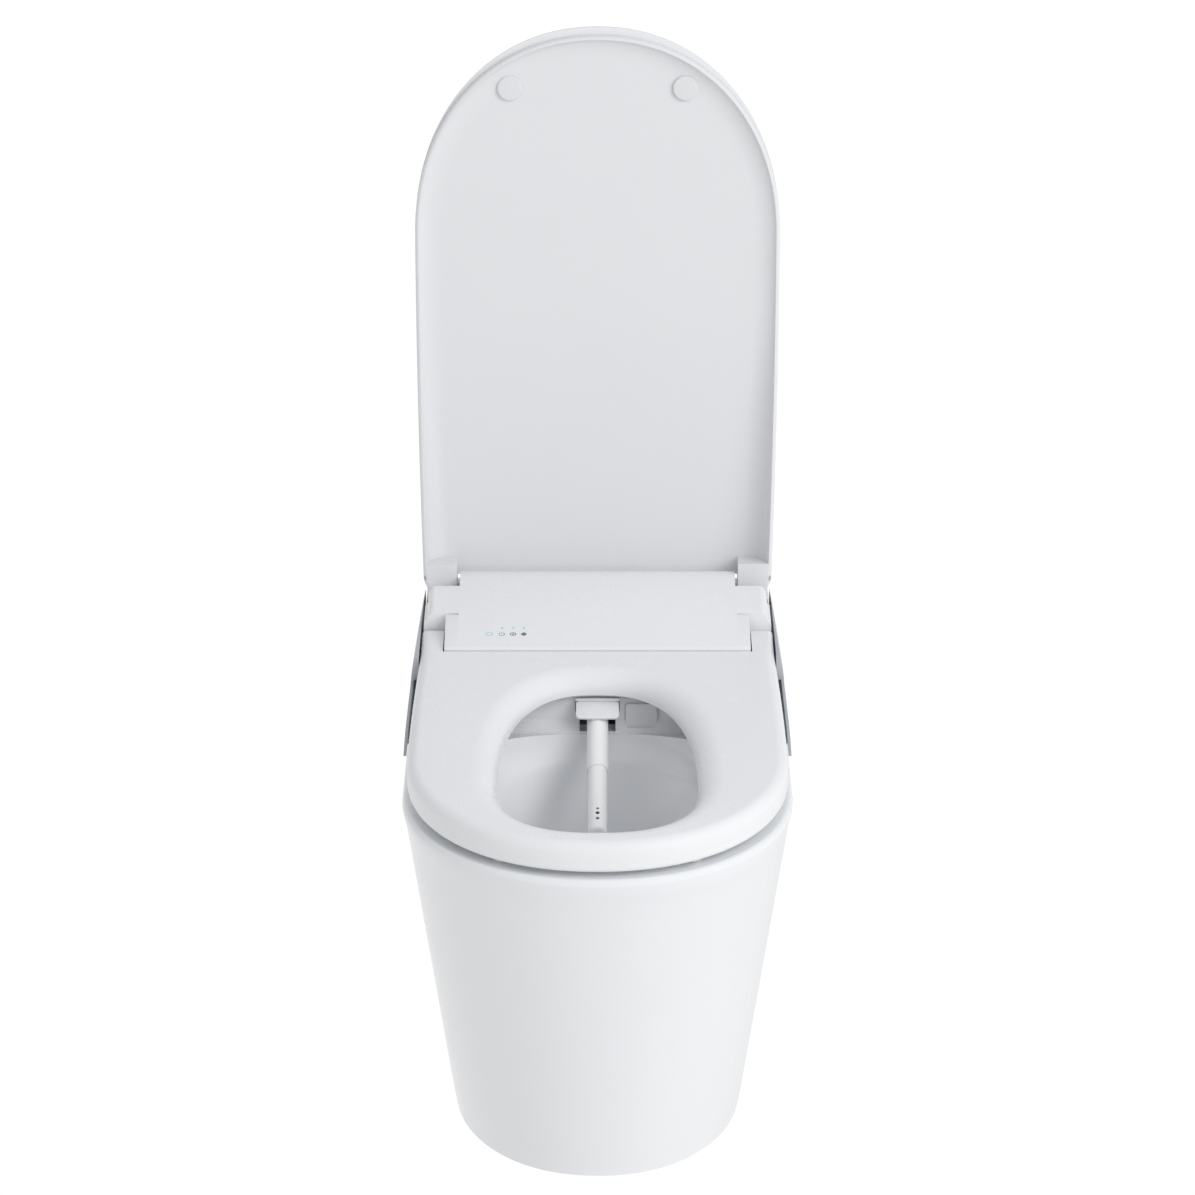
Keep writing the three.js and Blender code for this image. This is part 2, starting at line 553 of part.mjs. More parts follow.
place("power_board", join(box(60, 146, 246, 284, FLOOR, FLOOR + 2), transformer, relay), GREEN);
const board = join(box(-128, -64, 126, 146, 428, 429.6), box(-118, -76, 130, 142, 423, 428.5));
place("control_board", board, GREEN);
place("flush_valve", bar([0, 306, FLOOR], [0, 306, 396], 24, 16), WHITE);
place("filter_cartridge", bar([-92, 322, FLOOR + 14], [-40, 322, FLOOR + 14], 12, 14), LINER);

// Drying blower: a snail housing with a duct to the flap in the front wall.
const BLOWER = { x0: 30, x1: 66, y: 150, z: 384 };
// A bar along an axis that runs across.
const across = ({ y, z }, x0, x1, r, sides) => bar([x0, y, z], [x1, y, z], r, sides);
function dryerHousing() {
  const { x0, x1 } = BLOWER;
  const outer = join(across(BLOWER, x0, x1, 25, 20), box(x0, x1, WALL_Y + 4, BLOWER.y, 371, 393));
  const inner = join(across(BLOWER, x0 + 3, x1 + 1, 22, 20), box(x0 + 3, x1 - 3, WALL_Y, BLOWER.y, 374, 390));
  return cut(outer, inner);
}
place("dryer_housing", dryerHousing(), WHITE);
function impeller(axis, x0, x1, r, hub, blades) {
  const plate = across(axis, x0, x0 + 1.6, r, 20);
  const boss = across(axis, x0, x1, hub, 10);
  const vanes = [];
  for (let i = 0; i < blades; i++) {
    const a = (i / blades) * 2 * Math.PI;
    const foot = hub * 0.8;
    const g = new THREE.BoxGeometry(x1 - x0 - 1, 1.4, r - foot).translate((x0 + x1) / 2, 0, (r + foot) / 2);
    vanes.push(solid(g.applyMatrix4(new THREE.Matrix4().makeRotationX(a)).translate(0, axis.y, axis.z)));
  }
  return join(plate, boss, ...vanes);
}
place("dryer_impeller", impeller(BLOWER, BLOWER.x0 + 6, BLOWER.x1 - 6, 19.5, 5, 9), DARK);
place("dryer_motor", across(BLOWER, BLOWER.x1 + 0.6, BLOWER.x1 + 20, 13, 14), DARK);
place("deodorizer_fan", impeller({ y: 88, z: 383.5 }, -142, -126, 11.5, 3.5, 7), DARK);

// Deodorizer box behind the breather slots.
const deoBox = cut(box(-148, -94, WALL_Y + 4, 110, 368, 399), box(-145, -97, WALL_Y, 107, 371, 396));
place("deodorizer_housing", deoBox, WHITE);
place("deodorizer_filter", box(-120, -99, 70, 104, 372, 395), DARK);

// ---- front flaps ----
function dryerFlap() {
  const plate = box(DRYER_X[0] + 0.8, DRYER_X[1] - 0.8, WALL_Y - 2.7, WALL_Y - 0.5, CURB_Z + 2, 394.4);
  return join(plate, across({ y: WALL_Y - 1.6, z: 395 }, DRYER_X[0] + 2, DRYER_X[1] - 2, 1.5, 10));
}
place("dryer_flap", dryerFlap(), WHITE);
const SHUTTER = { y: WALL_Y - 4.5, z: 398, half: 22.6, corner: 5 };
function nozzleShutter() {
  const { y, z, half, corner } = SHUTTER;
  const edge = [[y - 22.5, z - 8.6], [y - 21.5, z - 9.4], [y - 20, z - 8.9], [y, z - 1.8], [y, z + 1.8]];
  const plate = rib(edge, -half, half);
  const tip = y - 22.5 - corner * 0.3;
  const trim = bar([half + 1, tip, z - 20], [half + 1, tip, z + 9], corner, 4);
  const barrel = across(SHUTTER, 2 - half, half - 2, 2, 10);
  return join(cut(plate, trim, trim.mirror([1, 0, 0])), barrel);
}
place("nozzle_shutter", nozzleShutter(), WHITE);

// ---- seat ----
place("seat_shell", seatShell(), WHITE);
place("seat_base", seatBase(), WHITE);
place("seat_heater", seatHeater(), DARK);
const BUMPERS = [
  ["front_left", -95, -306], ["front_right", 95, -306], ["rear_left", -164, -70], ["rear_right", 164, -70],
];
for (const [name, x, y] of BUMPERS) {
  const top = SEAT_LOW + RISE * (y - FRONT) - GAP;
  place(`seat_bumper_${name}`, bar([x, y, RIM_Z + GAP], [x, y, top], 8, 12), RUBBER);
}
const PIN = { r: 5, end: 178, seat: 141, lid: 128 };
both((name, side) => {
  place(`seat_pin_${name}`, across(SEAT_AXIS, side * PIN.seat, side * PIN.end, PIN.r, 12), STEEL);
  place(`lid_pin_${name}`, across(LID_AXIS, side * PIN.lid, side * PIN.end, PIN.r, 12), STEEL);
});
// A soft-close damper on the right pin of an axis.
const damper = (axis, pin, x1) =>
  cut(across(axis, 88, x1, 9.5, 16), across(axis, pin - 1, x1 + 1, PIN.r + 0.4, 12));
place("lid_damper", damper(LID_AXIS, PIN.lid, 141), DARK);
place("seat_damper", damper(SEAT_AXIS, PIN.seat, 153), DARK);

// ---- lid ----
const earBore = () => bar([EAR.inner - 9, 9.2, 0.2], [179, 9.2, 0.2], 5.3, 12);
const earRound = (side, t0) => {
  const stop = side > 0 ? [EAR.inner, EAR.outer] : [-EAR.outer, -EAR.inner];
  const outline = [[t0, EAR.high]];
  for (let i = 0; i <= 4; i++) {
    const a = THREE.MathUtils.degToRad(180 + i * 22.5);
    outline.push([Math.max(t0, 9.2 + 12.8 * Math.cos(a)), 0.2 + 12.8 * Math.sin(a)]);
  }
  return rib([...outline, [28, -11], [35, -6], [36, EAR.high]], ...stop);
};
const earPlan = lidBody([[0, () => -1], [0, () => 80]]);
function lidEars(made) {
  const ears = [1, -1].map((side) => earRound(side, 0).intersect(earPlan));
  const body = join(cut(made, box(-240, 240, -60, 90, -60, 5)), ...ears);
  return largest(cut(body, earBore(), earBore().mirror([1, 0, 0])));
}
place("lid_liner", lidEars(lidLiner()), LINER, lidGroup);
const earSpace = join(earRound(1, -1), earRound(-1, -1), box(-240, 240, -60, 36.3, -60, EAR.high + GAP));
place("lid_shell", cut(lidShell(), earSpace), WHITE, lidGroup);
const PAD = { x: 93.2, top: 5.4, s: 546, r: 13.2 }; // soft pads that meet the seat
both((name, side) => {
  const pad = bar([side * PAD.x, PAD.top, PAD.s], [side * PAD.x, DISH.tip - GAP, PAD.s], PAD.r, 20);
  place(`lid_bumper_${name}`, pad, RUBBER, lidGroup);
});

// ---- wand, drawn along its own slide: y runs back and up, 0 at the front mouth ----
const OUT_FRONT = -53;
const OUT_BACK = 74;
const IN_FRONT = -146;
const IN_BACK = -30;
const outAxis = -TUBE_R;
const outerTube = tube([0, OUT_FRONT, outAxis], [0, OUT_BACK, outAxis], TUBE_R, NOZZLE_R + 0.4, 18);
place("wand_tube", outerTube, WHITE, wandGroup);
function nozzle() {
  const tip = bar([0, IN_FRONT, outAxis], [0, IN_FRONT + 5.1, outAxis], NOZZLE_R - 3, 18, NOZZLE_R);
  const body = join(bar([0, IN_FRONT + 5, outAxis], [0, IN_BACK, outAxis], NOZZLE_R, 18), tip);
  const jets = [[-132.2, 1.9], [-124.3, 2.2], [-117.8, 1.5]];
  const holes = jets.map(([y, r]) => bar([0, y, outAxis], [0, y, 3], r, 8));
  return cut(body, ...holes);
}
place("wand_nozzle", nozzle(), WHITE, wandGroup);
// Cradle that the wand slides in, with the stepping motor and its pinion beside it.
const channel = bar([0, 20, outAxis], [0, 140, outAxis], TUBE_R + 0.6, 18);
const cradle = cut(box(-16.5, 16.5, 47, 126, -29, -4), channel, box(-9, 9, 20, 140, outAxis, 20));
place("nozzle_cradle", cradle, GREY, wandGroup);
const DRIVE = { y: 60, z: -14 };
const pinion = join(across(DRIVE, -24, -18, 7, 12), across(DRIVE, -26, -17.2, 2.2, 10));
place("drive_pinion", pinion, BRASS, wandGroup);
place("nozzle_motor", cut(across(DRIVE, -46, -27, 9.5, 16), across(DRIVE, -30, -26, 2.6, 10)), STEEL, wandGroup);

// ---- water and power entry at the back ----
place("water_inlet", tube([-ENTRY.x, 328, ENTRY.z], [-ENTRY.x, 356.5, ENTRY.z], ENTRY.water, 5, 12), BRASS);
place("power_gland", tube([ENTRY.x, 332, ENTRY.z], [ENTRY.x, 356.5, ENTRY.z], ENTRY.power, 4, 12), DARK);
place("outlet_gasket", tube([0, 222, 0.2], [0, 222, 8], 60, 53, 20), RUBBER);

export default scene;
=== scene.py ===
"""An electric bidet toilet: glazed bowl, washing unit, seat and lid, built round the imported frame."""

import json
import math

import bmesh
import bpy
from mathutils import Matrix, Vector


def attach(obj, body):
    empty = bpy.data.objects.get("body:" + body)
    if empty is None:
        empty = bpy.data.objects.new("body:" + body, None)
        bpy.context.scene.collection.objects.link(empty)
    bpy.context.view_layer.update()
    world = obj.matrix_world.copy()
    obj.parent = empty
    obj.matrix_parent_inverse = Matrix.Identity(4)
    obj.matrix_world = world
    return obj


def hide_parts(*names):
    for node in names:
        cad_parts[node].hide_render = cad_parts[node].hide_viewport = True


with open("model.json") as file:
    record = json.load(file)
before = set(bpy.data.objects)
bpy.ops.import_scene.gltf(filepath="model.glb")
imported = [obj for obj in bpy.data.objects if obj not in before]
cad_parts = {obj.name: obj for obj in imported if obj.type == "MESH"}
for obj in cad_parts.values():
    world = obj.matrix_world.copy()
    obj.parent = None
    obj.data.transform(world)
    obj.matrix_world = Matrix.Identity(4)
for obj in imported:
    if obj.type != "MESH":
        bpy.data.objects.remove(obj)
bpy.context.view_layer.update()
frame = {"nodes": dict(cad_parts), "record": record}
NODES = frame["nodes"]

# ---- driving sizes in millimetres, in the frame's own axes ----
MM = 0.001
FRONT = -352.5  # front tip of the seat
BACK = 357.5  # back of the bowl
RIM_Z = 384.0
DECK_Z = 350.0
CURB_Z = 365.0
CURB = (52.0, 69.0)
SLOPE_FRONT = -24.0
WALL = 12.0
RISE = 0.03  # climb of the seat per mm towards the back
SEAT = dict(tip=FRONT, half=193.75, length=212.0, power=2.11, taper=0.08, back=110.5, corner=16.0)
RIM = dict(tip=-BACK, half=199.0, length=217.0, power=2.11, taper=0.039, back=BACK, corner=18.0)
FOOT = dict(tip=FRONT + 102, half=150.5, length=198.0, power=2.1, taper=0.012, back=BACK, corner=18.0)
OPENING = dict(near=FRONT + 46, wide=FRONT + 168, far=FRONT + 402, half=101.5, power=2.5)
FUNNEL = (27.0, 20.0)  # width and depth of the rolled edge round the opening
SEAT_LOW, SEAT_SPLIT, SEAT_TOP = 390.0, 401.0, 421.0
SEAT_AXIS = (162.5, 421.0)
LID_AXIS = (264.7, 451.7)
LEAN = math.radians(6)
LID_FOOT = (255.5, 452.5)
LID_TIP = 602.5
LID_OVERHANG = 8.0
LID_THICK = (38.0, 26.0)  # at the hinge, at the tip
DISH = dict(tip=9.0, hinge=32.0, start=290.0, end=20.0)
EAR = (153.0, 190.0)
EAR_HIGH = 25.0
LID = dict(tip=-LID_TIP, half=195.0, length=213.4, power=2.11, taper=0.039, back=13.0, corner=24.0)
COVER = dict(front=113.0, rear=258.0, z_front=438.0, z_rear=464.5, half=163.0, side=187.0, barrel=13.5)
STRAP = dict(inner=164.5, outer=188.5, rear=178.0)  # the seat's straps round its hinge
WALL_Y = 62.0  # front face of the washing unit, over the basin
WAND_TILT = math.radians(20)
WAND_TOP = (22.5, 383.0)
TUBE_R, NOZZLE_R = 11.2, 10.0


# ---- outlines ----
def plan(shape, offset=0.0, nose=44, side=12, arc=8):
    """The closed plan of a nose-and-taper outline, moved outwards by offset."""
    right = []
    p = shape["power"]
    for i in range(nose + 1):
        t = i / nose * math.pi / 2
        across, along = math.sin(t) ** (2 / p), max(math.cos(t), 0.0) ** (2 / p)
        nx, ny = across ** (p - 1) / shape["half"], along ** (p - 1) / shape["length"]
        s = offset / math.hypot(nx, ny)
        right.append((shape["half"] * across + nx * s, shape["tip"] + shape["length"] * (1 - along) - ny * s))
    widest, end = shape["tip"] + shape["length"], shape["back"] - shape["corner"]

    def width(y):
        return shape["half"] - shape["taper"] * (y - widest) ** 2 / 1000

    for i in range(1, side + 1):
        y = widest + (end - widest) * i / side
        right.append((width(y) + offset, y))
    r = shape["corner"] + offset
    for i in range(1, arc + 1):
        a = i / arc * math.pi / 2
        right.append((width(end) - shape["corner"] + r * math.cos(a), end + r * math.sin(a)))
    return right + [(-x, y) for x, y in reversed(right[1:])]


def egg(near, wide, far, half, power, offset=0.0, steps=32):
    """Half a superellipse before its widest line and half behind it."""
    out = []
    for i in range(4 * steps):
        t = i / (4 * steps) * 2 * math.pi
        ahead = math.cos(t) > 0
        reach = wide - near if ahead else far - wide
        across, along = abs(math.sin(t)) ** (2 / power), abs(math.cos(t)) ** (2 / power)
        nx, ny = across ** (power - 1) / half, along ** (power - 1) / reach
        s = offset / math.hypot(nx, ny)
        x = (half * across + nx * s) * (-1 if math.sin(t) < 0 else 1)
        out.append((x, wide + (reach * along + ny * s) * (-1 if ahead else 1)))
    return out


def level(outline, z):
    return [(x, y, z) for x, y in outline]


def climbing(outline, z):
    return [(x, y, z + RISE * (y - FRONT)) for x, y in outline]


def mixed(a, b, f):
    return [(p[0] + (q[0] - p[0]) * f, p[1] + (q[1] - p[1]) * f) for p, q in zip(a, b)]


def rounding(inset, depth, steps=8):
    """(offset, drop) pairs of a quarter round, from the side up to the flat."""
    quarter = [i / steps * math.pi / 2 for i in range(steps + 1)]
    return [(-inset * (1 - math.cos(a)), -depth * (1 - math.sin(a))) for a in quarter]


def smooth_rows(rows, steps):
    """Rows of numbers with smooth rows between them, by a Catmull-Rom curve."""
    out = []
    for k in range(len(rows) - 1):
        a, b, c, d = (rows[min(max(k + j, 0), len(rows) - 1)] for j in (-1, 0, 1, 2))
        for i in range(steps):
            t = i / steps
            out.append([
                0.5 * (2 * q + (r - p) * t + (2 * p - 5 * q + 4 * r - s) * t * t
                       + (3 * q - p - 3 * r + s) * t ** 3)
                for p, q, r, s in zip(a, b, c, d)
            ])
    return out + [list(rows[-1])]


# ---- meshes ----
def make(name, bm, turn=None):
    bmesh.ops.remove_doubles(bm, verts=bm.verts, dist=1e-6)
    bmesh.ops.recalc_face_normals(bm, faces=bm.faces)
    if turn is not None:
        bmesh.ops.transform(bm, matrix=turn, verts=bm.verts)
    mesh = bpy.data.meshes.new(name)
    bm.to_mesh(mesh)
    bm.free()
    obj = bpy.data.objects.new(name, mesh)
    bpy.context.scene.collection.objects.link(obj)
    return obj


def loft(name, layers, turn=None, caps=(True, True)):
    """Closed outlines of equal length, skinned into one body."""
    bm = bmesh.new()
    rings = [[bm.verts.new((x * MM, y * MM, z * MM)) for x, y, z in layer] for layer in layers]
    for low, high in zip(rings, rings[1:]):
        for i in range(len(low)):
            j = (i + 1) % len(low)
            bm.faces.new((low[i], low[j], high[j], high[i]))
    if caps[0]:
        bm.faces.new(rings[0])
    if caps[1]:
        bm.faces.new(rings[-1])
    return make(name, bm, turn)


def rib(name, outline, x0, x1, turn=None):
    """An outline of (y, z) points pushed along X."""
    return loft(name, [[(x, y, z) for y, z in outline] for x in (x0, x1)], turn)


def slab(name, outline, z0, z1, turn=None):
    """An outline of (x, y) points pushed up."""
    return loft(name, [level(outline, z) for z in (z0, z1)], turn)


def block(name, x0, x1, y0, y1, z0, z1, turn=None):
    return slab(name, [(x0, y0), (x1, y0), (x1, y1), (x0, y1)], z0, z1, turn)


def bar(name, a, b, r, sides=48, r2=None, turn=None, rounded=0.0):
    """A round bar between two points, its far end rounded if asked."""
    a, b = Vector(a), Vector(b)
    along = (b - a).normalized()
    side = along.orthogonal().normalized()
    up = along.cross(side)
    rows = [(a, r)]
    end = r if r2 is None else r2
    if rounded:
        for inset, drop in rounding(rounded, rounded, 6):
            rows.append((b + along * drop, end + inset))
    else:
        rows.append((b, end))
    layers = []
    for centre, radius in rows:
        angles = [2 * math.pi * i / sides for i in range(sides)]
        layers.append([tuple(centre + side * radius * math.cos(t) + up * radius * math.sin(t)) for t in angles])
    return loft(name, layers, turn)


def applied(obj):
    """The object with its modifiers made real."""
    graph = bpy.context.evaluated_depsgraph_get()
    mesh = bpy.data.meshes.new_from_object(obj.evaluated_get(graph))
    old = obj.data
    obj.modifiers.clear()
    obj.data = mesh
    bpy.data.meshes.remove(old)
    return obj


def combine(obj, other, how):
    mod = obj.modifiers.new("cut", "BOOLEAN")
    mod.operation = how
    mod.solver = "EXACT"
    mod.object = other
    applied(obj)
    bpy.data.objects.remove(other)
    return obj


def cut(obj, *others):
    for other in others:
        combine(obj, other, "DIFFERENCE")
    return obj


def join(obj, *others):
    for other in others:
        combine(obj, other, "UNION")
    return obj


def keep(obj, other):
    return combine(obj, other, "INTERSECT")


def soften(obj, width, segments=3, angle=35):
    """Rounds the sharp edges."""
    mod = obj.modifiers.new("round", "BEVEL")
    mod.width = width * MM
    mod.segments = segments
    mod.limit_method = "ANGLE"
    mod.angle_limit = math.radians(angle)
    mod.use_clamp_overlap = True
    mod.harden_normals = False
    return applied(obj)


def tidy_mesh(obj, angle=38):
    bm = bmesh.new()
    bm.from_mesh(obj.data)
    bmesh.ops.remove_doubles(bm, verts=bm.verts, dist=2e-6)
    bmesh.ops.dissolve_degenerate(bm, edges=bm.edges, dist=1e-6)
    bm.to_mesh(obj.data)
    bm.free()
    obj.data.shade_smooth()
    obj.data.set_sharp_from_angle(angle=math.radians(angle))
    return obj


def finish(obj, material, body, replaced=(), angle=38):
    tidy_mesh(obj, angle)
    obj.data.materials.clear()
    obj.data.materials.append(material)
    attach(obj, body)
    if replaced:
        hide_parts(*replaced)
    return obj


# ---- shader groups shared by the finishes ----
def group(name, inputs, outputs):
    tree = bpy.data.node_groups.new(name, "ShaderNodeTree")
    for label, value in inputs:
        socket = tree.interface.new_socket(label, in_out="INPUT", socket_type="NodeSocketFloat")
        socket.default_value = value
    for label, kind in outputs:
        tree.interface.new_socket(label, in_out="OUTPUT", socket_type=kind)
    return tree, tree.nodes.new("NodeGroupInput"), tree.nodes.new("NodeGroupOutput")


def mottle_group():
    """Slow cloudy variation, from 0 to 1, with a finer speckle on it."""
    tree, ins, outs = group("Mottle", [("Scale", 9.0), ("Speckle", 0.25)], [("Value", "NodeSocketFloat")])
    coords = tree.nodes.new("ShaderNodeTexCoord")
    cloud = tree.nodes.new("ShaderNodeTexNoise")
    cloud.inputs["Detail"].default_value = 3
    fine = tree.nodes.new("ShaderNodeTexNoise")
    fine.inputs["Scale"].default_value = 900
    fine.inputs["Detail"].default_value = 2
    mix = tree.nodes.new("ShaderNodeMix")
    tree.links.new(coords.outputs["Object"], cloud.inputs["Vector"])
    tree.links.new(coords.outputs["Object"], fine.inputs["Vector"])
    tree.links.new(ins.outputs["Scale"], cloud.inputs["Scale"])
    tree.links.new(ins.outputs["Speckle"], mix.inputs["Factor"])
    tree.links.new(cloud.outputs["Fac"], mix.inputs["A"])
    tree.links.new(fine.outputs["Fac"], mix.inputs["B"])
    tree.links.new(mix.outputs["Result"], outs.inputs["Value"])
    return tree


MOTTLE = mottle_group()


def material(name, dark, light, rough, bump=0.0, grain=600.0, metal=0.0, coat=0.0, coat_rough=0.1,
             scale=9.0, speckle=0.25):
    """A finish whose colour and roughness wander between two values, with a fine surface grain."""
    mat = bpy.data.materials.new(name)
    mat.use_nodes = True
    nodes, links = mat.node_tree.nodes, mat.node_tree.links
    shader = nodes["Principled BSDF"]
    shader.inputs["Metallic"].default_value = metal
    shader.inputs["Coat Weight"].default_value = coat
    shader.inputs["Coat Roughness"].default_value = coat_rough
    shader.inputs["IOR"].default_value = 1.5
    wander = nodes.new("ShaderNodeGroup")
    wander.node_tree = MOTTLE
    wander.inputs["Scale"].default_value = scale
    wander.inputs["Speckle"].default_value = speckle
    tint = nodes.new("ShaderNodeMix")
    tint.data_type = "RGBA"
    tint.inputs["A"].default_value = (*dark, 1)
    tint.inputs["B"].default_value = (*light, 1)
    links.new(wander.outputs["Value"], tint.inputs["Factor"])
    links.new(tint.outputs["Result"], shader.inputs["Base Color"])
    spread = nodes.new("ShaderNodeMapRange")
    spread.inputs["To Min"].default_value = rough[0]
    spread.inputs["To Max"].default_value = rough[1]
    links.new(wander.outputs["Value"], spread.inputs["Value"])
    links.new(spread.outputs["Result"], shader.inputs["Roughness"])
    if bump:
        coords = nodes.new("ShaderNodeTexCoord")
        noise = nodes.new("ShaderNodeTexNoise")
        noise.inputs["Scale"].default_value = grain
        noise.inputs["Detail"].default_value = 2
        lift = nodes.new("ShaderNodeBump")
        lift.inputs["Strength"].default_value = bump
        lift.inputs["Distance"].default_value = 0.0004
        links.new(coords.outputs["Object"], noise.inputs["Vector"])
        links.new(noise.outputs["Fac"], lift.inputs["Height"])
        links.new(lift.outputs["Normal"], shader.inputs["Normal"])
    return mat


GLAZE = material("White glaze", (0.80, 0.815, 0.835), (0.83, 0.842, 0.86), (0.05, 0.09), bump=0.03, grain=26.0,
                 coat=0.6, coat_rough=0.03, scale=5.0, speckle=0.05)
# A lighter copy of the white glaze for the inside of the basin: painted light, standing in for light falling
# into the bowl.
BASIN_PAINTED_LIGHT_GLAZE = material("White glaze with painted basin light", (0.845, 0.855, 0.875), (0.865, 0.875, 0.89), (0.05, 0.09), bump=0.03,
                       grain=26.0, coat=0.6, coat_rough=0.03, scale=5.0, speckle=0.05)
SHELL = material("White moulded shell", (0.80, 0.81, 0.825), (0.82, 0.83, 0.845), (0.24, 0.30), bump=0.02,
                 grain=1400.0)
# A lighter copy of the white plastic for the wand: painted light, lifting the wand out of the shade it sits in
# under the seat and lid.
WAND_PAINTED_LIGHT_PLASTIC = material("White wand plastic with painted light", (0.89, 0.895, 0.90), (0.91, 0.915, 0.92), (0.20, 0.26), bump=0.02,
                grain=1400.0)
INSIDE = material("Lid lining", (0.73, 0.735, 0.75), (0.75, 0.755, 0.77), (0.34, 0.42), bump=0.04, grain=1400.0)
SILVER = material("Silver paint", (0.42, 0.44, 0.47), (0.50, 0.52, 0.55), (0.30, 0.42), bump=0.05, grain=2200.0,
                  metal=0.15, speckle=0.6)
GREY = material("Grey plastic", (0.22, 0.23, 0.24), (0.28, 0.29, 0.30), (0.45, 0.6), bump=0.1, grain=900.0)
DARK = material("Black plastic", (0.015, 0.016, 0.018), (0.03, 0.031, 0.034), (0.45, 0.6), bump=0.1, grain=900.0)
BOARD = material("Circuit laminate", (0.012, 0.09, 0.04), (0.02, 0.13, 0.06), (0.3, 0.45), bump=0.1, grain=500.0)
STEEL = material("Stainless steel", (0.52, 0.53, 0.55), (0.62, 0.63, 0.65), (0.22, 0.36), bump=0.05,
                 grain=700.0, metal=1.0)
BRASS = material("Machined brass", (0.55, 0.40, 0.17), (0.66, 0.49, 0.22), (0.22, 0.36), bump=0.05,
                 grain=700.0, metal=1.0)
RUBBER = material("Pale rubber", (0.70, 0.705, 0.72), (0.74, 0.745, 0.76), (0.5, 0.62), bump=0.12, grain=1200.0)
MARK = material("Printed grey mark", (0.16, 0.17, 0.19), (0.19, 0.20, 0.22), (0.5, 0.6))
CYAN = material("Lit cyan mark", (0.12, 0.62, 0.74), (0.15, 0.68, 0.80), (0.4, 0.5))
LED = material("Lit green dot", (0.10, 0.72, 0.42), (0.14, 0.80, 0.48), (0.3, 0.4))
# Near-black for the bottoms of the jet holes: painted shade, standing in for the dark depth of the bores.
JET_BORE_PAINTED_SHADE = material("Painted shade in jet bore", (0.03, 0.03, 0.035), (0.05, 0.05, 0.055), (0.5, 0.6))

BY_SLOT = {"glaze": GLAZE, "white_shell": SHELL, "lid_inside": INSIDE, "silver": SILVER, "grey_plastic": GREY,
           "dark_plastic": DARK, "circuit": BOARD, "steel": STEEL, "brass": BRASS, "rubber": RUBBER, "lit": CYAN}
for entry in frame["record"]["subparts"]:
    node = NODES[entry["node"]]
    node.data.materials.clear()
    node.data.materials.append(BY_SLOT[entry["material_slot"]])


# ---- the bowl ----
BASIN = [
    (RIM_Z - 12, -306, -130, 52, 136, 2.4),
    (358, -304, -129, 51, 134, 2.4),
    (346, -298, -128, 47, 128, 2.38),
    (336, -288, -126, 41, 118, 2.34),
    (320, -278, -121, 36, 110, 2.28),
    (300, -266, -116, 30, 102, 2.2),
    (250, -236, -100, 14, 82, 2.1),
    (200, -190, -80, -12, 58, 2),
    (160, -140, -72, -30, 42, 2),
]
TRAP = [
    (-84, 176), (-60, 140), (10, 128), (70, 160), (112, 215), (160, 238), (205, 205), (222, 150), (222, 60),
    (222, -2),
]


def basin(name, grow, drop):
    top = BASIN[0]
    layers = []
    for inset, fall in reversed(rounding(9, 9)):
        z = RIM_Z + fall
        layers.append(level(egg(*top[1:], offset=grow - inset), z))
    layers.insert(0, level(egg(*top[1:], offset=grow + 9.0), RIM_Z + 3))
    for z, near, wide, far, half, power in smooth_rows(BASIN, 5):
        layers.append(level(egg(near, wide, far, half, power, offset=grow), z - drop))
    return loft(name, layers)


def trapway(name, r):
    """The water way, swept along its bends."""
    path = smooth_rows(TRAP, 4)
    layers = []
    for i, (y, z) in enumerate(path):
        before, after = path[max(i - 1, 0)], path[min(i + 1, len(path) - 1)]
        along = Vector((0, after[0] - before[0], after[1] - before[1])).normalized()
        up = Vector((1, 0, 0)).cross(along)
        angles = [2 * math.pi * k / 32 for k in range(32)]
        circle = [(r * math.cos(t), r * math.sin(t)) for t in angles]
        layers.append([(x, y + up.y * h, z + up.z * h) for x, h in circle])
    return loft(name, layers)


def skirt(name, inset, z0, z1, rounded):
    foot, rim = plan(FOOT, -inset), plan(RIM, -inset)
    heights = [z0 + (z1 - z0) * i / 16 for i in range(17)]
    if not rounded:
        return loft(name, [level(mixed(foot, rim, z / RIM_Z), z) for z in heights])
    layers = [level(plan(FOOT, -1.5), z0), level(plan(FOOT, -0.4), z0 + 1), level(plan(FOOT, 0), z0 + 3)]
    layers += [level(mixed(foot, rim, z / RIM_Z), z) for z in heights[1:-1] if z < z1 - 8]
    layers += [level(plan(RIM, o), z1 + d) for o, d in rounding(6, 7)]
    return loft(name, layers)


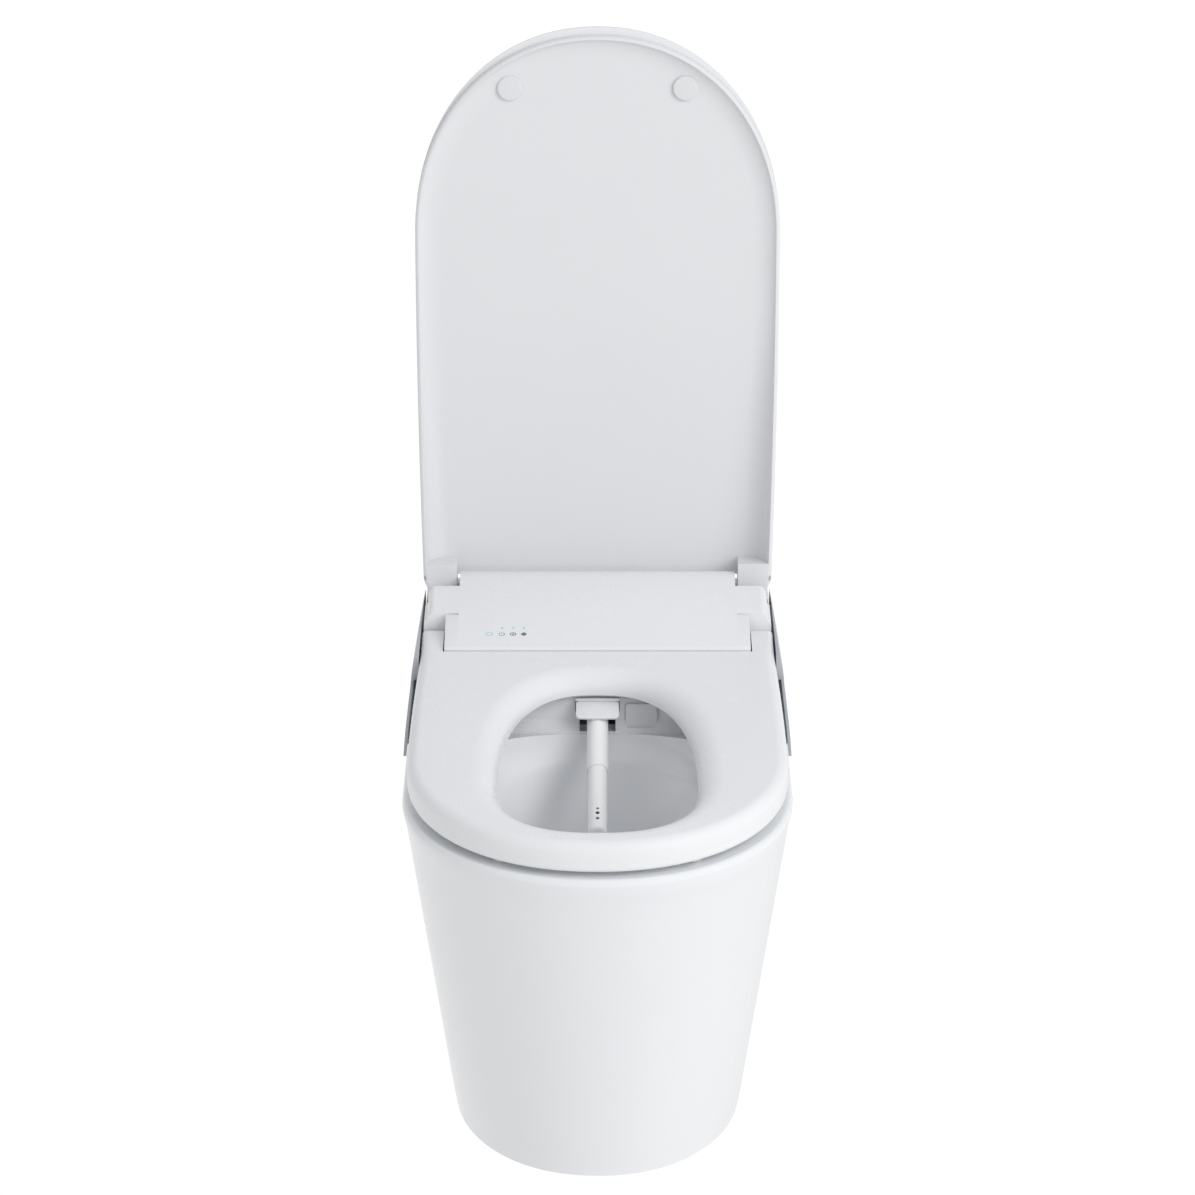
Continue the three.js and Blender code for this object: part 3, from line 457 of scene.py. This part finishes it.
def bowl():
    body = skirt("bowl_casting", 0, 0, RIM_Z, True)
    deck = rib("deck", [(SLOPE_FRONT, RIM_Z + 9), (SLOPE_FRONT, RIM_Z), (CURB[0], CURB_Z), (CURB[1], CURB_Z),
                        (CURB[1], DECK_Z), (BACK + 9, DECK_Z), (BACK + 9, RIM_Z + 9)], -230, 230)
    roof = rib("roof", [(-360, RIM_Z - WALL), (SLOPE_FRONT, RIM_Z - WALL), (CURB[0], DECK_Z - WALL),
                        (400, DECK_Z - WALL), (400, -9), (-360, -9)], -230, 230)
    hollow = keep(skirt("hollow", WALL, -3, RIM_Z - 1, False), roof)
    cut(hollow, basin("basin_outside", WALL, WALL), trapway("trap_outside", 52))
    half, high, corner = 95, 190, 22
    arch = [(half - corner + corner * math.cos(a), high - corner + corner * math.sin(a)) for a in
            [i / 8 * math.pi / 2 for i in range(9)]]
    outline = [(half, -9)] + arch + [(-x, z) for x, z in reversed(arch)] + [(-half, -9)]
    door = loft("door", [[(x, y, z) for x, z in outline] for y in (BACK + 9, BACK - 40)])
    cut(body, deck, hollow, door,
        block("tank_hole", -120, 120, BACK - 100, BACK - 24, DECK_Z - 20, DECK_Z + 9))
    cut(body, basin("basin_inside", 0, 0), trapway("trap_inside", 40))
    finish(body, GLAZE, "base", ["ceramic_bowl", "ceramic_basin", "ceramic_trapway"], angle=30)
    # Faces of the basin that look inwards get the lighter glaze copy: painted light inside the bowl.
    body.data.materials.append(BASIN_PAINTED_LIGHT_GLAZE)
    for face in body.data.polygons:
        x, y, z = (v / MM for v in face.center)
        within = abs(x) < 140 and -310 < y < 60 and 60 < z < RIM_Z - 2
        if within and face.normal.dot(Vector((x, y + 100, 0))) < 0:
            face.material_index = 1


# ---- the seat ----
def seat_outer(name):
    quarter = [i / 6 * math.pi / 2 for i in range(7)]
    low = [(-5 + 5 * math.sin(a), SEAT_LOW + 5 - 5 * math.cos(a)) for a in quarter]
    top = [(o, SEAT_TOP + d) for o, d in rounding(12, 12, 12)]
    outer = loft(name, [climbing(plan(dict(SEAT, back=SEAT["back"] + 20), o), z) for o, z in low + top])
    return cut(outer, block("behind", -250, 250, SEAT["back"], 200, 380, 460))


def seat_hole(name, grow=0.0):
    """The opening, with the wide rolled edge that runs down into it."""
    wide, deep = FUNNEL
    if grow:
        rows = [(0, SEAT_LOW - 9)]
    else:
        rows = [(24, SEAT_LOW - 9), (24, SEAT_LOW - 0.5), (3, SEAT_LOW + 6), (0, SEAT_LOW + 8.5)]
    rows.append((0, SEAT_TOP - deep))
    for i in range(1, 17):
        a = i / 16 * math.pi / 2
        rows.append((wide * (1 - math.cos(a)), SEAT_TOP - deep + deep * math.sin(a)))
    rows.append((wide, SEAT_TOP + 40))
    return loft(name, [climbing(egg(**OPENING, offset=o + grow), z) for o, z in rows])


def above(name, z):
    front, back = z + RISE * (-400 - FRONT), z + RISE * (400 - FRONT)
    return rib(name, [(-400, front), (400, back), (400, 700), (-400, 700)], -250, 250)


def below(name, z):
    front, back = z + RISE * (-400 - FRONT), z + RISE * (400 - FRONT)
    return rib(name, [(-400, front), (400, back), (400, 200), (-400, 200)], -250, 250)


def seat_ear(side):
    """The strap that carries the seat round its hinge, its outer edge rounded like the seat's."""
    top = SEAT_TOP + RISE * (SEAT_AXIS[0] - FRONT)
    r = top - SEAT_AXIS[1]
    inner, outer = STRAP["inner"], STRAP["outer"]
    edge = [(outer + o, d) for o, d in rounding(10, 10, 8)]
    layers = []
    for y in (80, SEAT_AXIS[0] + r + 1):
        crown = SEAT_TOP + RISE * (y - FRONT)
        crown = min(crown, top)
        rounded = [(x, y, crown + d) for x, d in edge]
        layers.append([(inner, y, 404), (outer, y, 404)] + rounded + [(inner, y, crown)])
    strap = loft("ear", layers)
    arc = [(SEAT_AXIS[0] + r * math.sin(a), SEAT_AXIS[1] + r * math.cos(a)) for a in
           [i / 16 * math.pi for i in range(17)]]
    side_view = rib("ear_side", [(80, 480), (SEAT_AXIS[0] - 40, 480)] + [(SEAT_AXIS[0] - 2, top + 0.02)] + arc +
                    [(80, 408)], 150, 200)
    keep(strap, side_view)
    cut(strap, bar("bore", (150, *SEAT_AXIS), (179, *SEAT_AXIS), 5.3, 32))
    if side < 0:
        strap.data.transform(Matrix.Scale(-1, 4, (1, 0, 0)))
        strap.data.flip_normals()
    return strap


def hood_room():
    start = WALL_Y - 6
    room = block("hood_room", -158, 158, start, 125, 380, 409)
    return join(room, block("wand_room", -22.5, 22.5, start, 125, 380, 418))


def seat():
    top = cut(seat_outer("seat_upper_shell"), seat_hole("hole"), below("split", SEAT_SPLIT))
    pocket = loft("pocket", [climbing(plan(SEAT, o), z) for o, z in
                             ((-5, SEAT_SPLIT - 2), (-5, SEAT_TOP - 12), (-11, SEAT_TOP - 5))])
    cut(top, cut(pocket, seat_hole("hole", 5)), hood_room())
    join(top, seat_ear(1), seat_ear(-1))
    finish(top, SHELL, "seat", ["seat_shell"], angle=32)
    base = cut(seat_outer("seat_lower_shell"), seat_hole("hole"), above("split", SEAT_SPLIT - 0.04), hood_room())
    for side in (-1, 1):
        x = sorted((side * (STRAP["inner"] - 0.4), side * (STRAP["outer"] + 9)))
        cut(base, block("ear_room", x[0], x[1], 79.6, 130, 406, 450))
    finish(base, SHELL, "seat", ["seat_base"], angle=32)


# ---- the lid, built upright in its own frame and then leaned back ----
LID_TURN = Matrix.Translation((0, LID_FOOT[0] * MM, LID_FOOT[1] * MM)) @ Matrix.Rotation(-LEAN, 4, "X")


def lid_thick(s):
    return LID_THICK[0] + (LID_THICK[1] - LID_THICK[0]) * s / LID_TIP


def dish_depth(s):
    """Depth of the recess, with the change of slope eased over 60 mm."""
    f = (DISH["start"] - s) / (DISH["start"] - DISH["end"])
    ease = 0.11
    if f < -ease:
        f = 0.0
    elif f < ease:
        f = (f + ease) ** 2 / (4 * ease)
    return DISH["tip"] + (DISH["hinge"] - DISH["tip"]) * min(f, 1.0)


def lid_layer(offset, depth, shift=0.0, back=None):
    shape = dict(LID, tip=LID["tip"] - shift, length=LID["length"] + shift)
    if back is not None:
        shape["back"] = back
    return [(x, depth(-y), -y) for x, y in plan(shape, offset)]


def towards_spine(outline, depth, rings, low, high):
    """Rings that run from an outline in to a line down its middle, at the depth wanted."""
    out = []
    for k in range(1, rings + 1):
        f = 1 - k / rings
        ring = []
        for x, _, s in outline:
            middle = min(max(s, low), high)
            at = middle + (s - middle) * f
            ring.append((x * f, depth(at), at))
        out.append(ring)
    return out


def dish_room(name, more):
    rows = [s for s in range(-40, 701, 10)]
    outline = [(-60, -40)] + [(dish_depth(s) + more, s) for s in rows] + [(-60, 700)]
    return rib(name, outline, -240, 240)


def ear_side(name, x0, x1):
    outline = [(0, EAR_HIGH)]
    for i in range(17):
        a = math.radians(180 + i * 5.625)
        outline.append((max(0, 9.2 + 12.8 * math.cos(a)), 0.2 + 12.8 * math.sin(a)))
    return rib(name, outline + [(28, -11), (33, -8), (35.5, -3), (36, 4), (36, EAR_HIGH)], x0, x1)


def lid():
    shift = LID_OVERHANG
    outer = [lid_layer(0, lambda s: 9.0, shift)]
    outer += [lid_layer(o, lambda s, d=d: lid_thick(s) + d, shift) for o, d in rounding(11, 9, 10)]
    shell = loft("lid_outer_shell", outer)
    cut(shell, dish_room("dish_room", 3.3), block("end", -EAR[0], EAR[0], -40, 90, -60, 5),
        block("ears", -240, 240, -60, 36.3, -60, EAR_HIGH + 0.3))
    shell.data.transform(LID_TURN)
    finish(shell, SHELL, "lid", ["lid_shell"], angle=32)

    edge = [lid_layer(o, lambda s, d=d: -d) for o, d in reversed(rounding(4, 4, 6))]
    edge.append(lid_layer(0, lambda s: 60.0))
    lining = keep(loft("lid_lining", edge), dish_room("dish_room", 3.0))
    lip, sweep = 4.5, 24.0
    walls = [lid_layer(-lip + 1.5, lambda s: -3.0, back=60), lid_layer(-lip + 0.8, lambda s: 0.0, back=60)]
    for i in range(1, 15):
        a = i / 14 * math.pi / 2
        inset = lip + sweep * (1 - math.cos(a))
        walls.append(lid_layer(-inset, lambda s, a=a: dish_depth(s) * math.sin(a), back=60))
    walls += towards_spine(walls[-1], dish_depth, 14, -20, 400)
    cut(lining, loft("dish", walls, caps=(True, False)))
    cut(lining, block("end", -EAR[0], EAR[0], -40, 90, -60, 5),
        block("open_end", -EAR[0], EAR[0], -40, DISH["hinge"], -60, 12),
        block("low", -240, 240, -60, 90, -60, 5))
    for x0, x1 in ((EAR[0], EAR[1]), (-EAR[1], -EAR[0])):
        outline = [lid_layer(o, lambda s, d=d: -d) for o, d in reversed(rounding(4, 4, 6))]
        outline.append(lid_layer(0, lambda s: 80.0))
        join(lining, keep(ear_side("ear", x0, x1), loft("ear_plan", outline)))
    for side in (-1, 1):
        cut(lining, bar("bore", (side * 144, 9.2, 0.2), (side * 179, 9.2, 0.2), 5.3, 32))
    lining.data.transform(LID_TURN)
    finish(lining, INSIDE, "lid", ["lid_liner"], angle=32)
    for name, side in (("left", -1), ("right", 1)):
        x, along, r = side * 93.2, 546, 13.2
        pad = bar(f"lid_bumper_pad_{name}", (x, DISH["tip"] - 0.3, along), (x, 5.2, along), r, 64, rounded=1.6,
                  turn=LID_TURN)
        finish(pad, RUBBER, "lid", [f"lid_bumper_{name}"])


# ---- the washing unit ----
def cover_height(y):
    slope = (COVER["z_rear"] - COVER["z_front"]) / (COVER["rear"] - COVER["front"])
    return COVER["z_front"] + slope * (y - COVER["front"])


def cover_block(name, inset, z0):
    front = COVER["front"] + inset
    r = COVER["barrel"] - inset
    barrel = [(LID_AXIS[0] + r * math.cos(a), LID_AXIS[1] + r * math.sin(a)) for a in
              [math.radians(78 - i * 6) for i in range(17)]]
    edge = [(front, z0), (front, cover_height(COVER["front"]) - 2 - inset),
            (front + 2, cover_height(COVER["front"]) - inset + 0.4)]
    half = EAR[0] - 3.5 - inset
    rear = COVER["rear"] - 4
    middle = rib(name, edge + [(rear, cover_height(rear) - inset)] + barrel + [(barrel[-1][0], z0)], -half, half)
    end = STRAP["rear"]
    reach = COVER["half"] - inset
    wide = rib("wide", edge + [(end, cover_height(end) - inset), (end, z0)], -reach, reach)

    def shoulder(y):
        top = cover_height(y) - inset
        side = COVER["side"] - inset
        right = [(side, z0), (side, 436 - inset)]
        right += [(side - 2.6 * (1 - math.cos(a)), 436 - inset + 4 * math.sin(a)) for a in
                  [i / 4 * math.pi / 2 for i in range(1, 5)]]
        right += [(side - 4.4 - 7 * (1 - math.cos(a)), top - 8 * (1 - math.sin(a))) for a in
                  [i / 8 * math.pi / 2 for i in range(9)]]
        return [(x, y, z) for x, z in right] + [(-x, y, z) for x, z in reversed(right)]

    first, last = STRAP["rear"] + 4 + inset, 236 - inset
    rows = [first + (last - first) * i / 6 for i in range(7)]
    return join(middle, wide, loft("shoulders", [shoulder(y) for y in rows]))


ICON_Y = 140.0
ICON_X = (-115.4, -102.2, -90.2, -78.7)
DRYER = (29.0, 64.0)  # the drying flap, across


def hinge_bore(axis):
    return bar("bore", (-200, *axis), (200, *axis), 5.3, 32)


def covers():
    top = cut(cover_block("top_cover_skin", 0, 397.5), cover_block("inside", 3, 390))
    cut(top, hinge_bore(SEAT_AXIS), hinge_bore(LID_AXIS), block("passage", -18.5, 18.5, 104, 120, 390, 428))
    soften(top, 1.1, 3)
    finish(top, SHELL, "base", ["top_cover"], angle=32)

    near, far = WALL_Y - 9, WALL_Y + 9
    wall = block("front_wall_and_hood", -154, 154, WALL_Y, WALL_Y + 3, CURB_Z + 1, 404)
    join(wall, block("roof", -154, 154, WALL_Y, 109, 401, 404))
    cove = rib("cove", [(WALL_Y - 11, CURB_Z + 0.3), (WALL_Y + 1, CURB_Z + 0.3), (WALL_Y + 1, CURB_Z + 12),
                        (WALL_Y, CURB_Z + 12)], -154, 154)
    join(wall, cut(cove, basin("basin_room", 0.5, 0)))
    cut(wall, block("bay", -19, 19, near, far, 350, 388), block("bay_top", -23.4, 23.4, near, far, 386, 400.5),
        block("wand_way", -18.5, 18.5, WALL_Y + 1, 120, 350, 413),
        block("outlet", DRYER[0] + 2, DRYER[1] - 2, near, far, 370, 392))
    cut(wall, slats("breather_cut", -140, -96, 370, 5.0, 5))
    join(wall, block("brow", -23.2, 23.2, WALL_Y - 5.5, WALL_Y + 0.5, 400.4, 403.6))
    soften(wall, 0.6, 2)
    finish(wall, SHELL, "base", ["front_hood"], angle=32)


def slats(name, x0, x1, z0, pitch, count):
    """A column of slot cutters, repeated by a node tree."""
    tree = bpy.data.node_groups.new("Slot column", "GeometryNodeTree")
    tree.interface.new_socket("Geometry", in_out="OUTPUT", socket_type="NodeSocketGeometry")
    for label, kind in (("Count", "NodeSocketInt"), ("Pitch", "NodeSocketFloat"), ("Width", "NodeSocketFloat"),
                        ("Height", "NodeSocketFloat")):
        tree.interface.new_socket(label, in_out="INPUT", socket_type=kind)
    ins, outs = tree.nodes.new("NodeGroupInput"), tree.nodes.new("NodeGroupOutput")
    line = tree.nodes.new("GeometryNodeMeshLine")
    step = tree.nodes.new("ShaderNodeCombineXYZ")
    slot_mesh = tree.nodes.new("GeometryNodeMeshCube")
    size = tree.nodes.new("ShaderNodeCombineXYZ")
    size.inputs["Y"].default_value = 0.02
    scatter = tree.nodes.new("GeometryNodeInstanceOnPoints")
    real = tree.nodes.new("GeometryNodeRealizeInstances")
    paint = tree.nodes.new("GeometryNodeSetMaterial")
    paint.inputs["Material"].default_value = SHELL
    links = tree.links
    links.new(ins.outputs["Count"], line.inputs["Count"])
    links.new(ins.outputs["Pitch"], step.inputs["Z"])
    links.new(step.outputs["Vector"], line.inputs["Offset"])
    links.new(ins.outputs["Width"], size.inputs["X"])
    links.new(ins.outputs["Height"], size.inputs["Z"])
    links.new(size.outputs["Vector"], slot_mesh.inputs["Size"])
    links.new(line.outputs["Mesh"], scatter.inputs["Points"])
    links.new(slot_mesh.outputs["Mesh"], scatter.inputs["Instance"])
    links.new(scatter.outputs["Instances"], real.inputs["Geometry"])
    links.new(real.outputs["Geometry"], paint.inputs["Geometry"])
    links.new(paint.outputs["Geometry"], outs.inputs["Geometry"])
    obj = bpy.data.objects.new(name, bpy.data.meshes.new(name))
    bpy.context.scene.collection.objects.link(obj)
    mod = obj.modifiers.new("repeat", "NODES")
    mod.node_group = tree
    values = {"Count": count, "Pitch": pitch * MM, "Width": (x1 - x0) * MM, "Height": pitch * MM / 2}
    for item in tree.interface.items_tree:
        if item.in_out == "INPUT":
            mod[item.identifier] = values[item.name]
    applied(obj)
    obj.data.transform(Matrix.Translation(((x0 + x1) / 2 * MM, WALL_Y * MM, z0 * MM)))
    return obj


def side_panels():
    for name, side in (("left", -1), ("right", 1)):
        lower = [(-52, RIM_Z + 0.6), (SLOPE_FRONT, RIM_Z + 0.6), (CURB[0] + 1, CURB_Z + 0.8),
                 (CURB[1] + 1, CURB_Z + 0.8), (CURB[1] + 4, DECK_Z + 0.8), (344, DECK_Z + 0.8)]
        upper = [(344, 404), (338, 413), (330, 420), (318, 425), (296, 428), (236, 429), (120, 433), (108, 430),
                 (104, 400), (-10, 394), (-34, 388.5)]
        profile = rib("profile", lower + upper, 120, 230)

        def skin(label, inset):
            rows = [(DECK_Z - 4, 201.5, 0.03), (385, 201.5, 0.03), (415, 200, 0.04), (436, 195.5, 0.045)]
            layers = []
            for z, half, taper in smooth_rows(rows, 4):
                shape = dict(RIM, half=half - inset, taper=taper, tip=FRONT - 8 + inset)
                layers.append(level(plan(shape), z))
            return loft(label, layers)

        panel = keep(skin(f"side_panel_skin_{name}", 0), profile)
        cut(panel, keep(skin("inside", 3.2), block("low", -300, 300, -400, 400, 300, 405)),
            block("over", 0, STRAP["outer"] + 1.5, 60, 400, 300, 500))
        if side < 0:
            panel.data.transform(Matrix.Scale(-1, 4, (1, 0, 0)))
            panel.data.flip_normals()
        soften(panel, 0.8, 3)
        finish(panel, SILVER, "base", [f"side_panel_{name}"], angle=32)


# ---- the wand ----
JETS = ((-132.2, 1.9), (-124.3, 2.2), (-117.8, 1.5))  # place along the wand, radius
WAND_TURN = Matrix.Translation((0, WAND_TOP[0] * MM, WAND_TOP[1] * MM)) @ Matrix.Rotation(WAND_TILT, 4, "X")


def wand():
    mid = -TUBE_R
    outer = bar("wand_outer_tube", (0, 74, mid), (0, -53, mid), TUBE_R, 64, rounded=0.8, turn=WAND_TURN)
    cut(outer, bar("bore", (0, 80, mid), (0, -60, mid), NOZZLE_R + 0.4, 64, turn=WAND_TURN))
    # The wand's pieces take the lighter plastic: painted light.
    finish(outer, WAND_PAINTED_LIGHT_PLASTIC, "wand_outer", ["wand_tube"])
    inner = bar("wand_nozzle_body", (0, -30, mid), (0, -146, mid), NOZZLE_R, 64, rounded=3.4, turn=WAND_TURN)
    for y, r in JETS:
        cut(inner, bar("jet", (0, y, mid + 6.5), (0, y, 6), r, 24, turn=WAND_TURN))
    finish(inner, WAND_PAINTED_LIGHT_PLASTIC, "wand_inner", ["wand_nozzle"])
    # Dark discs set just under the nozzle's surface in each jet hole: painted shade for the depth of the bores.
    for i, (y, r) in enumerate(JETS):
        disc = bar(f"jet_bore_painted_shade_{i + 1}", (0, y, mid + 6.6), (0, y, mid + 8.9), r - 0.05, 24, turn=WAND_TURN)
        finish(disc, JET_BORE_PAINTED_SHADE, "wand_inner")


def flaps():
    half, reach, corner = 22.6, 24.2, 5.0
    hinge_y, hinge_z = WALL_Y - 4.5, 398.0
    turn = Matrix.Translation((0, hinge_y * MM, hinge_z * MM)) @ Matrix.Rotation(math.radians(22), 4, "X")
    round_corner = [(half - corner + corner * math.cos(a), corner - reach - corner * math.sin(a)) for a in
                    [i / 8 * math.pi / 2 for i in range(9)]]
    right = [(half, 0)] + round_corner
    plate = slab("shutter_flap", right + [(-x, y) for x, y in reversed(right)], -0.5, 1.7, turn)
    join(plate, bar("barrel", (2 - half, hinge_y, hinge_z), (half - 2, hinge_y, hinge_z), 2, 24))
    soften(plate, 0.6, 3)
    finish(plate, SHELL, "shutter", ["nozzle_shutter"])

    flap = block("drying_flap_plate", DRYER[0] + 0.8, DRYER[1] - 0.8, WALL_Y - 2.7, WALL_Y - 0.5, CURB_Z + 2,
                 394.4)
    join(flap, bar("barrel", (DRYER[0] + 2, WALL_Y - 1.6, 395), (DRYER[1] - 2, WALL_Y - 1.6, 395), 1.5, 24))
    soften(flap, 0.5, 3)
    finish(flap, SHELL, "drying_flap", ["dryer_flap"])


# ---- marks on the cover: a thin print that lies on the sloping panel ----
def marks():
    slope = math.atan2(COVER["z_rear"] - COVER["z_front"], COVER["rear"] - COVER["front"])

    def on_cover(x, y):
        place = Matrix.Translation((x * MM, y * MM, (cover_height(y) + 0.05) * MM))
        return place @ Matrix.Rotation(slope, 4, "X")

    def ring(name, x, y, r, width, mat, start=0.0, sweep=2 * math.pi):
        bm = bmesh.new()
        steps = 40
        inner, outer = [], []
        for i in range(steps + 1):
            a = start + sweep * i / steps
            for row, radius in ((inner, r - width), (outer, r)):
                row.append(bm.verts.new((radius * MM * math.cos(a), radius * MM * math.sin(a), 0)))
        for i in range(steps):
            bm.faces.new((inner[i], outer[i], outer[i + 1], inner[i + 1]))
        bmesh.ops.solidify(bm, geom=bm.faces, thickness=-0.0001)
        obj = make(name, bm, on_cover(x, y))
        finish(obj, mat, "base")

    def stroke(name, x, y, points, mat):
        bm = bmesh.new()
        low = [bm.verts.new((px * MM, py * MM, 0)) for px, py in points]
        top = [bm.verts.new((px * MM, py * MM, 0.0001)) for px, py in points]
        bm.faces.new(top)
        bm.faces.new(list(reversed(low)))
        for i in range(len(points)):
            j = (i + 1) % len(points)
            bm.faces.new((low[i], low[j], top[j], top[i]))
        obj = make(name, bm, on_cover(x, y))
        finish(obj, mat, "base")

    ring("mark_light_ring", ICON_X[0], ICON_Y, 3.6, 0.9, CYAN)
    ring("mark_power_ring", ICON_X[1], ICON_Y, 3.3, 0.8, MARK, math.radians(120), math.radians(300))
    stroke("mark_power_bar", ICON_X[1], ICON_Y, [(-0.35, 0.4), (0.35, 0.4), (0.35, 3.3), (-0.35, 3.3)], MARK)
    ring("mark_wash_ring", ICON_X[2], ICON_Y, 3.4, 1.1, MARK)
    ring("mark_wash_dot", ICON_X[2], ICON_Y, 1.2, 1.1, MARK)
    leaf = [(2.9 * math.sin(a) * abs(math.sin(a)) ** 0.3, 3.3 * math.cos(a)) for a in
            [i / 24 * 2 * math.pi for i in range(24)]]
    stroke("mark_dry_leaf", ICON_X[3], ICON_Y, leaf, MARK)
    for i, x in enumerate(ICON_X[1:]):
        ring(f"led_dot_{i + 1}", x, ICON_Y + 12.0, 1.4, 1.35, LED)


bowl()
seat()
lid()
covers()
side_panels()
wand()
flaps()
marks()

# ---- smooth shading of the frame's own round pieces ----
for node in NODES.values():
    if not node.hide_render:
        node.data.shade_smooth()
        node.data.set_sharp_from_angle(angle=math.radians(30))


# ---- camera, light and floor ----
def only_seen(tree, socket, seen, cast):
    """One strength where it is looked at, another for the light it gives."""
    path = tree.nodes.new("ShaderNodeLightPath")
    choose = tree.nodes.new("ShaderNodeMix")
    choose.inputs["A"].default_value = cast
    choose.inputs["B"].default_value = seen
    tree.links.new(path.outputs["Is Camera Ray"], choose.inputs["Factor"])
    tree.links.new(choose.outputs["Result"], socket)


def studio():
    scene = bpy.context.scene
    scene.view_settings.view_transform = "Standard"
    scene.view_settings.look = "None"
    cam_data = bpy.data.cameras.new("camera")
    cam_data.lens = 148.3
    cam_data.sensor_width = 36
    cam_data.clip_end = 50
    cam = bpy.data.objects.new("camera", cam_data)
    cam.location = (0.0, -4.7304, 2.4242)
    cam.rotation_euler = (math.radians(68.29), 0, 0)
    scene.collection.objects.link(cam)
    scene.camera = cam

    world = bpy.data.worlds.new("white room")
    scene.world = world
    world.use_nodes = True
    back = world.node_tree.nodes["Background"]
    back.inputs["Color"].default_value = (0.975, 0.985, 1, 1)
    only_seen(world.node_tree, back.inputs["Strength"], 1.03, 0.68)

    def softbox(name, place, target, size, power):
        light = bpy.data.lights.new(name, "AREA")
        light.shape = "RECTANGLE"
        light.size, light.size_y = size
        light.energy = power
        obj = bpy.data.objects.new(name, light)
        obj.location = place
        obj.rotation_euler = (Vector(target) - Vector(place)).to_track_quat("-Z", "Y").to_euler()
        obj.visible_glossy = False
        scene.collection.objects.link(obj)

    softbox("key", (4.0, -3.6, 3.7), (0, 0, 0.4), (4.4, 4.4), 200)

    bpy.ops.mesh.primitive_plane_add(size=40)
    floor = bpy.context.object
    floor.name = "studio_floor"
    paint = bpy.data.materials.new("Studio floor white")
    paint.use_nodes = True
    shader = paint.node_tree.nodes["Principled BSDF"]
    shader.inputs["Base Color"].default_value = (0.0, 0.0, 0.0, 1)
    shader.inputs["Roughness"].default_value = 1.0
    shader.inputs["Specular IOR Level"].default_value = 0.0
    shader.inputs["Emission Color"].default_value = (1, 1, 1, 1)
    only_seen(paint.node_tree, shader.inputs["Emission Strength"], 1.03, 0.85)
    floor.data.materials.append(paint)


studio()
